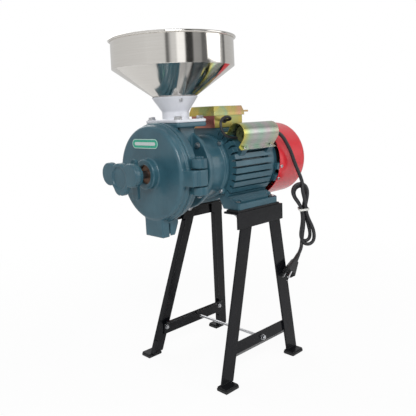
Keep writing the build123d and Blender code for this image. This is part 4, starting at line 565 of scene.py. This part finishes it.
labelFacts = {"edge": 0.2, "rim": 1.5, "rimProud": 0.25, "lensIn": 7.5, "lensHalf": 3.2, "lensProud": 0.2, "sunk": 0.1}
labelLow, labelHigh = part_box("label_plate")
labelY, labelZ = (labelLow[1] + labelHigh[1]) / 2, (labelLow[2] + labelHigh[2]) / 2
halfY, halfZ = (labelHigh[1] - labelLow[1]) / 2, (labelHigh[2] - labelLow[2]) / 2
front, back = labelLow[0], labelLow[0] + labelFacts["sunk"] * mm
edge, inner = labelFacts["edge"] * mm, (labelFacts["edge"] + labelFacts["rim"]) * mm
rimOuter = pill(labelY, labelZ, halfY - edge, halfZ - edge)
rimInner = pill(labelY, labelZ, halfY - inner, halfZ - inner)
rimMesh = slab("labelRim", rimOuter, back, front - labelFacts["rimProud"] * mm, rimInner)
linked("label_rim", rimMesh, "label", "door", finishes["labelRim"])
lens = pill(labelY, labelZ, halfY - labelFacts["lensIn"] * mm, labelFacts["lensHalf"] * mm)
lensMesh = slab("labelLens", lens, back, front - labelFacts["lensProud"] * mm)
linked("label_lens", lensMesh, "label", "door", finishes["labelLens"])
print("label finished")

cordFacts = {
    "diameter": 8.3,
    "exit": (110, -82.5, 515.07),
    "fall": [(100, -82.5, 515.07), (135, -82.5, 515.07), (158, -95, 474), (174, -97, 437), (190, -107, 394)],
    "centre": (197, -103.4, 328.8),
    "across": (0.713, -0.70, 0.075),
    "depth": (-0.699, -0.713, -0.048),
    "turns": [
        (-1, 46, 10), (2.5, 27, 9.5), (4, 10, 8.3), (4.6, -8, 8.3), (9, -25, 8), (15.5, -41, 6),
        (19.5, -56, 5), (20, -71, 4), (16.5, -82, 3), (7.5, -87.8, 3), (-2.6, -86, 3), (-9.3, -78, 4),
        (-10.4, -67, 5), (-8.6, -54, 6), (-5.5, -42, 7), (-2.8, -26, 8), (-3, -11, 8.3), (-5.4, 3, 8),
        (-11, 16, 7), (-18.5, 28, 5), (-23, 41, 3), (-20, 54, 2), (-9, 61, 1), (3.5, 59.5, 0), (11.5, 50, -1),
        (12.6, 37, 0), (9.5, 23, 1), (5.2, 8, 0.3), (4.4, -7, 0), (6, -24, -1), (9, -41, -2.5),
        (11.5, -55, -4), (12, -66, -5), (9.6, -75.5, -5), (2.6, -80.5, -4.5), (-5.5, -79, -3.5),
        (-10.2, -72, -2.5), (-10.6, -61, -1.5), (-8, -48, -1), (-5, -35, -1), (-3.4, -21, -1), (-4, -7, 0),
        (-6, 6, -1), (-11, 18, -3), (-17.5, 29, -6), (-18.5, 41, -8), (-12, 51, -8.3), (-1.5, 54, -8.3),
        (7.5, 48.5, -8.3), (10, 37, -8.3), (7.5, 23, -8.3), (3, 9, -8.3), (0.6, -6, -8.3), (0.6, -22, -8.3),
        (-0.5, -40, -8.3), (-4.5, -59, -7.5),
    ],
    "tail": [(198, -97, 250), (189.2, -102.1, 233.8), (172, -106, 224.4)],
}


def cordPoints(facts):  # the cord's own points, from the cover down through the coil to the plug
    across = Vector(facts["across"]).normalized()
    depth = Vector(facts["depth"])
    depth = (depth - across * depth.dot(across)).normalized()
    upward = depth.cross(across)
    centre = Vector(facts["centre"])
    coil = [centre + across * a + upward * b + depth * c for a, b, c in facts["turns"]]
    return [Vector(p) * mm for p in facts["fall"]] + [p * mm for p in coil] + [Vector(p) * mm for p in facts["tail"]]


def cordCurve(name, points, diameter):
    curve = bpy.data.curves.new(name, "CURVE")
    curve.dimensions = "3D"
    spline = curve.splines.new("NURBS")
    spline.points.add(len(points) - 1)
    for point, place in zip(spline.points, points):
        point.co = (*place, 1)
    spline.order_u = 3
    spline.use_endpoint_u = True
    curve.resolution_u = 10
    curve.bevel_depth = diameter * mm / 2
    curve.bevel_resolution = 5
    curve.use_fill_caps = True
    curve.materials.append(finishes["cord_rubber"])
    piece = bpy.data.objects.new(name, curve)
    bpy.context.scene.collection.objects.link(piece)
    return piece


def curveLength(curve):  # the length of the cord's line, with no thickness
    bare = curve.copy()
    bare.data = curve.data.copy()
    bare.data.bevel_depth = 0
    bpy.context.scene.collection.objects.link(bare)
    line = bpy.data.meshes.new_from_object(bare.evaluated_get(bpy.context.evaluated_depsgraph_get()))
    total = sum((line.vertices[i + 1].co - line.vertices[i].co).length for i in range(len(line.vertices) - 1))
    bpy.data.objects.remove(bare)
    return total


cord = cordCurve("supply_cord", cordPoints(cordFacts), cordFacts["diameter"])
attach(cord, "mill")
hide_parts("power_cord", "cord_hank", "cord_tail")
cordLength = curveLength(cord)
print("cord laid,", round(cordLength, 3), "m")

linkFacts = {  # the short cable that loops from the box into the cover
    "diameter": 5.6, "exit": (10, -40, 543),
    "points": [
        (10, -30, 543), (10, -54, 543), (3, -56, 550), (-14, -57, 550), (-29, -60, 543), (-32, -64, 525),
        (-24, -68, 512), (-8, -71, 507), (6, -72, 506),
    ],
}
link = cordCurve("link_cable", [Vector(p) * mm for p in linkFacts["points"]], linkFacts["diameter"])
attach(link, "mill")
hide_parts("link_wire")
curveLength(link)
print("link cable laid")

cameraFacts = {  # place in metres, angles in degrees
    "focalPixels": 527.93, "imagePixels": 416, "sensor": 36, "place": (-0.8187, -0.8178, 0.5605),
    "yaw": 45.53, "pitch": -10.25, "roll": 2.35, "near": 0.01, "far": 50,
}


def placeCamera(facts):
    yaw, pitch, roll = (math.radians(facts[k]) for k in ("yaw", "pitch", "roll"))
    ahead = Vector((math.cos(pitch) * math.cos(yaw), math.cos(pitch) * math.sin(yaw), math.sin(pitch)))
    right = Vector((math.sin(yaw), -math.cos(yaw), 0))
    above = right.cross(ahead)
    across = right * math.cos(roll) - above * math.sin(roll)
    upward = right * math.sin(roll) + above * math.cos(roll)
    data = bpy.data.cameras.new("camera")
    data.sensor_width = facts["sensor"]
    data.lens = facts["sensor"] * facts["focalPixels"] / facts["imagePixels"]
    data.clip_start, data.clip_end = facts["near"], facts["far"]
    camera = bpy.data.objects.new("camera", data)
    bpy.context.scene.collection.objects.link(camera)
    turn = Matrix((across, upward, -ahead)).transposed().to_4x4()
    camera.matrix_world = Matrix.Translation(Vector(facts["place"])) @ turn
    bpy.context.scene.camera = camera
    return camera


placeCamera(cameraFacts)

studio = {
    "world": 0.5, "mirrored": 1.2, "aim": (0, 0, 0.42),
    "lamps": [
        {"name": "keyLamp", "place": (-1.3, -1.5, 1.7), "power": 27, "size": 0.9},
        {"name": "fillLamp", "place": (1.2, -1.7, 1.0), "power": 7, "size": 1.2},
        {"name": "backLamp", "place": (0.3, 1.6, 1.5), "power": 9, "size": 1.2},
    ],
    "bands": [  # what polished steel sees round the room, by compass share from -180 to 180 degrees
        (0.0, 0.62), (0.097, 0.6), (0.106, 0.10), (0.113, 0.12), (0.122, 0.38), (0.131, 0.6), (0.154, 0.62),
        (0.159, 1.0), (0.195, 1.0), (0.202, 0.03), (0.237, 0.04), (0.243, 0.3), (0.281, 0.26), (0.288, 0.12),
        (0.330, 0.12), (0.338, 0.55), (0.405, 0.6), (0.418, 0.3), (0.434, 0.08), (0.446, 0.45), (0.62, 0.5),
        (1.0, 0.6),
    ],
}


def buildStudio(facts):
    for lamp in facts["lamps"]:
        data = bpy.data.lights.new(lamp["name"], "AREA")
        data.energy, data.size = lamp["power"], lamp["size"]
        light = bpy.data.objects.new(lamp["name"], data)
        bpy.context.scene.collection.objects.link(light)
        aim = Vector(facts["aim"]) - Vector(lamp["place"])
        light.matrix_world = Matrix.Translation(lamp["place"]) @ aim.to_track_quat("-Z", "Y").to_matrix().to_4x4()
    world = bpy.data.worlds.new("studioWorld")
    bpy.context.scene.world = world
    world.use_nodes = True
    tree = world.node_tree
    tree.nodes.clear()
    path = addNode(tree, "ShaderNodeLightPath")
    way = addNode(tree, "ShaderNodeTexCoord").outputs["Generated"]
    apart = addNode(tree, "ShaderNodeSeparateXYZ", {}, {0: way})
    turn = addNode(tree, "ShaderNodeMath", {"operation": "ARCTAN2"}, {0: apart.outputs[1], 1: apart.outputs[0]})
    share = addNode(tree, "ShaderNodeMapRange", {1: -math.pi, 2: math.pi}, {0: turn.outputs[0]})
    bands = addNode(tree, "ShaderNodeValToRGB", {"stops": facts["bands"]}, {0: share.outputs[0]})
    plain = addNode(tree, "ShaderNodeBackground", {"Strength": facts["world"], "Color": linear("#ffffff")})
    seen = addNode(tree, "ShaderNodeBackground", {"Strength": 1.0, "Color": linear("#ffffff")})
    mirrored = addNode(tree, "ShaderNodeBackground", {"Strength": facts["mirrored"]}, {"Color": bands.outputs[0]})
    byGloss = {0: path.outputs["Is Glossy Ray"], 1: plain.outputs[0], 2: mirrored.outputs[0]}
    glossy = addNode(tree, "ShaderNodeMixShader", {}, byGloss)
    byCamera = {0: path.outputs["Is Camera Ray"], 1: glossy.outputs[0], 2: seen.outputs[0]}
    final = addNode(tree, "ShaderNodeMixShader", {}, byCamera)
    addNode(tree, "ShaderNodeOutputWorld", {}, {"Surface": final.outputs[0]})


floorFacts = {"half": 1.5, "tint": "#f2f2f2", "white": (0.93, 1.0), "fade": (0.5, 1.3)}  # sizes in metres


def buildFloor(facts):  # a pale floor that keeps the shadow and otherwise reads as white
    mesh = bpy.data.meshes.new("floor")
    half = facts["half"]
    mesh.from_pydata([(-half, -half, 0), (half, -half, 0), (half, half, 0), (-half, half, 0)], [], [(0, 1, 2, 3)])
    floor = bpy.data.objects.new("floor", mesh)
    bpy.context.scene.collection.objects.link(floor)
    material = bpy.data.materials.new("paleFloor")
    material.use_nodes = True
    tree = material.node_tree
    tree.nodes.clear()
    path = addNode(tree, "ShaderNodeLightPath")
    matt = addNode(tree, "ShaderNodeBsdfDiffuse", {"Color": linear(facts["tint"])})
    white = addNode(tree, "ShaderNodeEmission", {"Color": linear("#ffffff"), "Strength": 1.0})
    where = addNode(tree, "ShaderNodeTexCoord").outputs["Object"]
    away = addNode(tree, "ShaderNodeVectorMath", {"operation": "LENGTH"}, {0: where}).outputs["Value"]
    (near, far), (low, high) = facts["fade"], facts["white"]  # its edge melts into the white
    fade = addNode(tree, "ShaderNodeMapRange", {1: near, 2: far, 3: low, 4: high}, {0: away})
    share = addNode(
        tree, "ShaderNodeMath", {"operation": "MULTIPLY"}, {0: fade.outputs[0], 1: path.outputs["Is Camera Ray"]}
    )
    mix = addNode(tree, "ShaderNodeMixShader", {}, {0: share.outputs[0], 1: matt.outputs[0], 2: white.outputs[0]})
    addNode(tree, "ShaderNodeOutputMaterial", {}, {"Surface": mix.outputs[0]})
    mesh.materials.append(material)


buildStudio(studio)
buildFloor(floorFacts)
bpy.context.scene.view_settings.view_transform = "Standard"
print("studio lit")
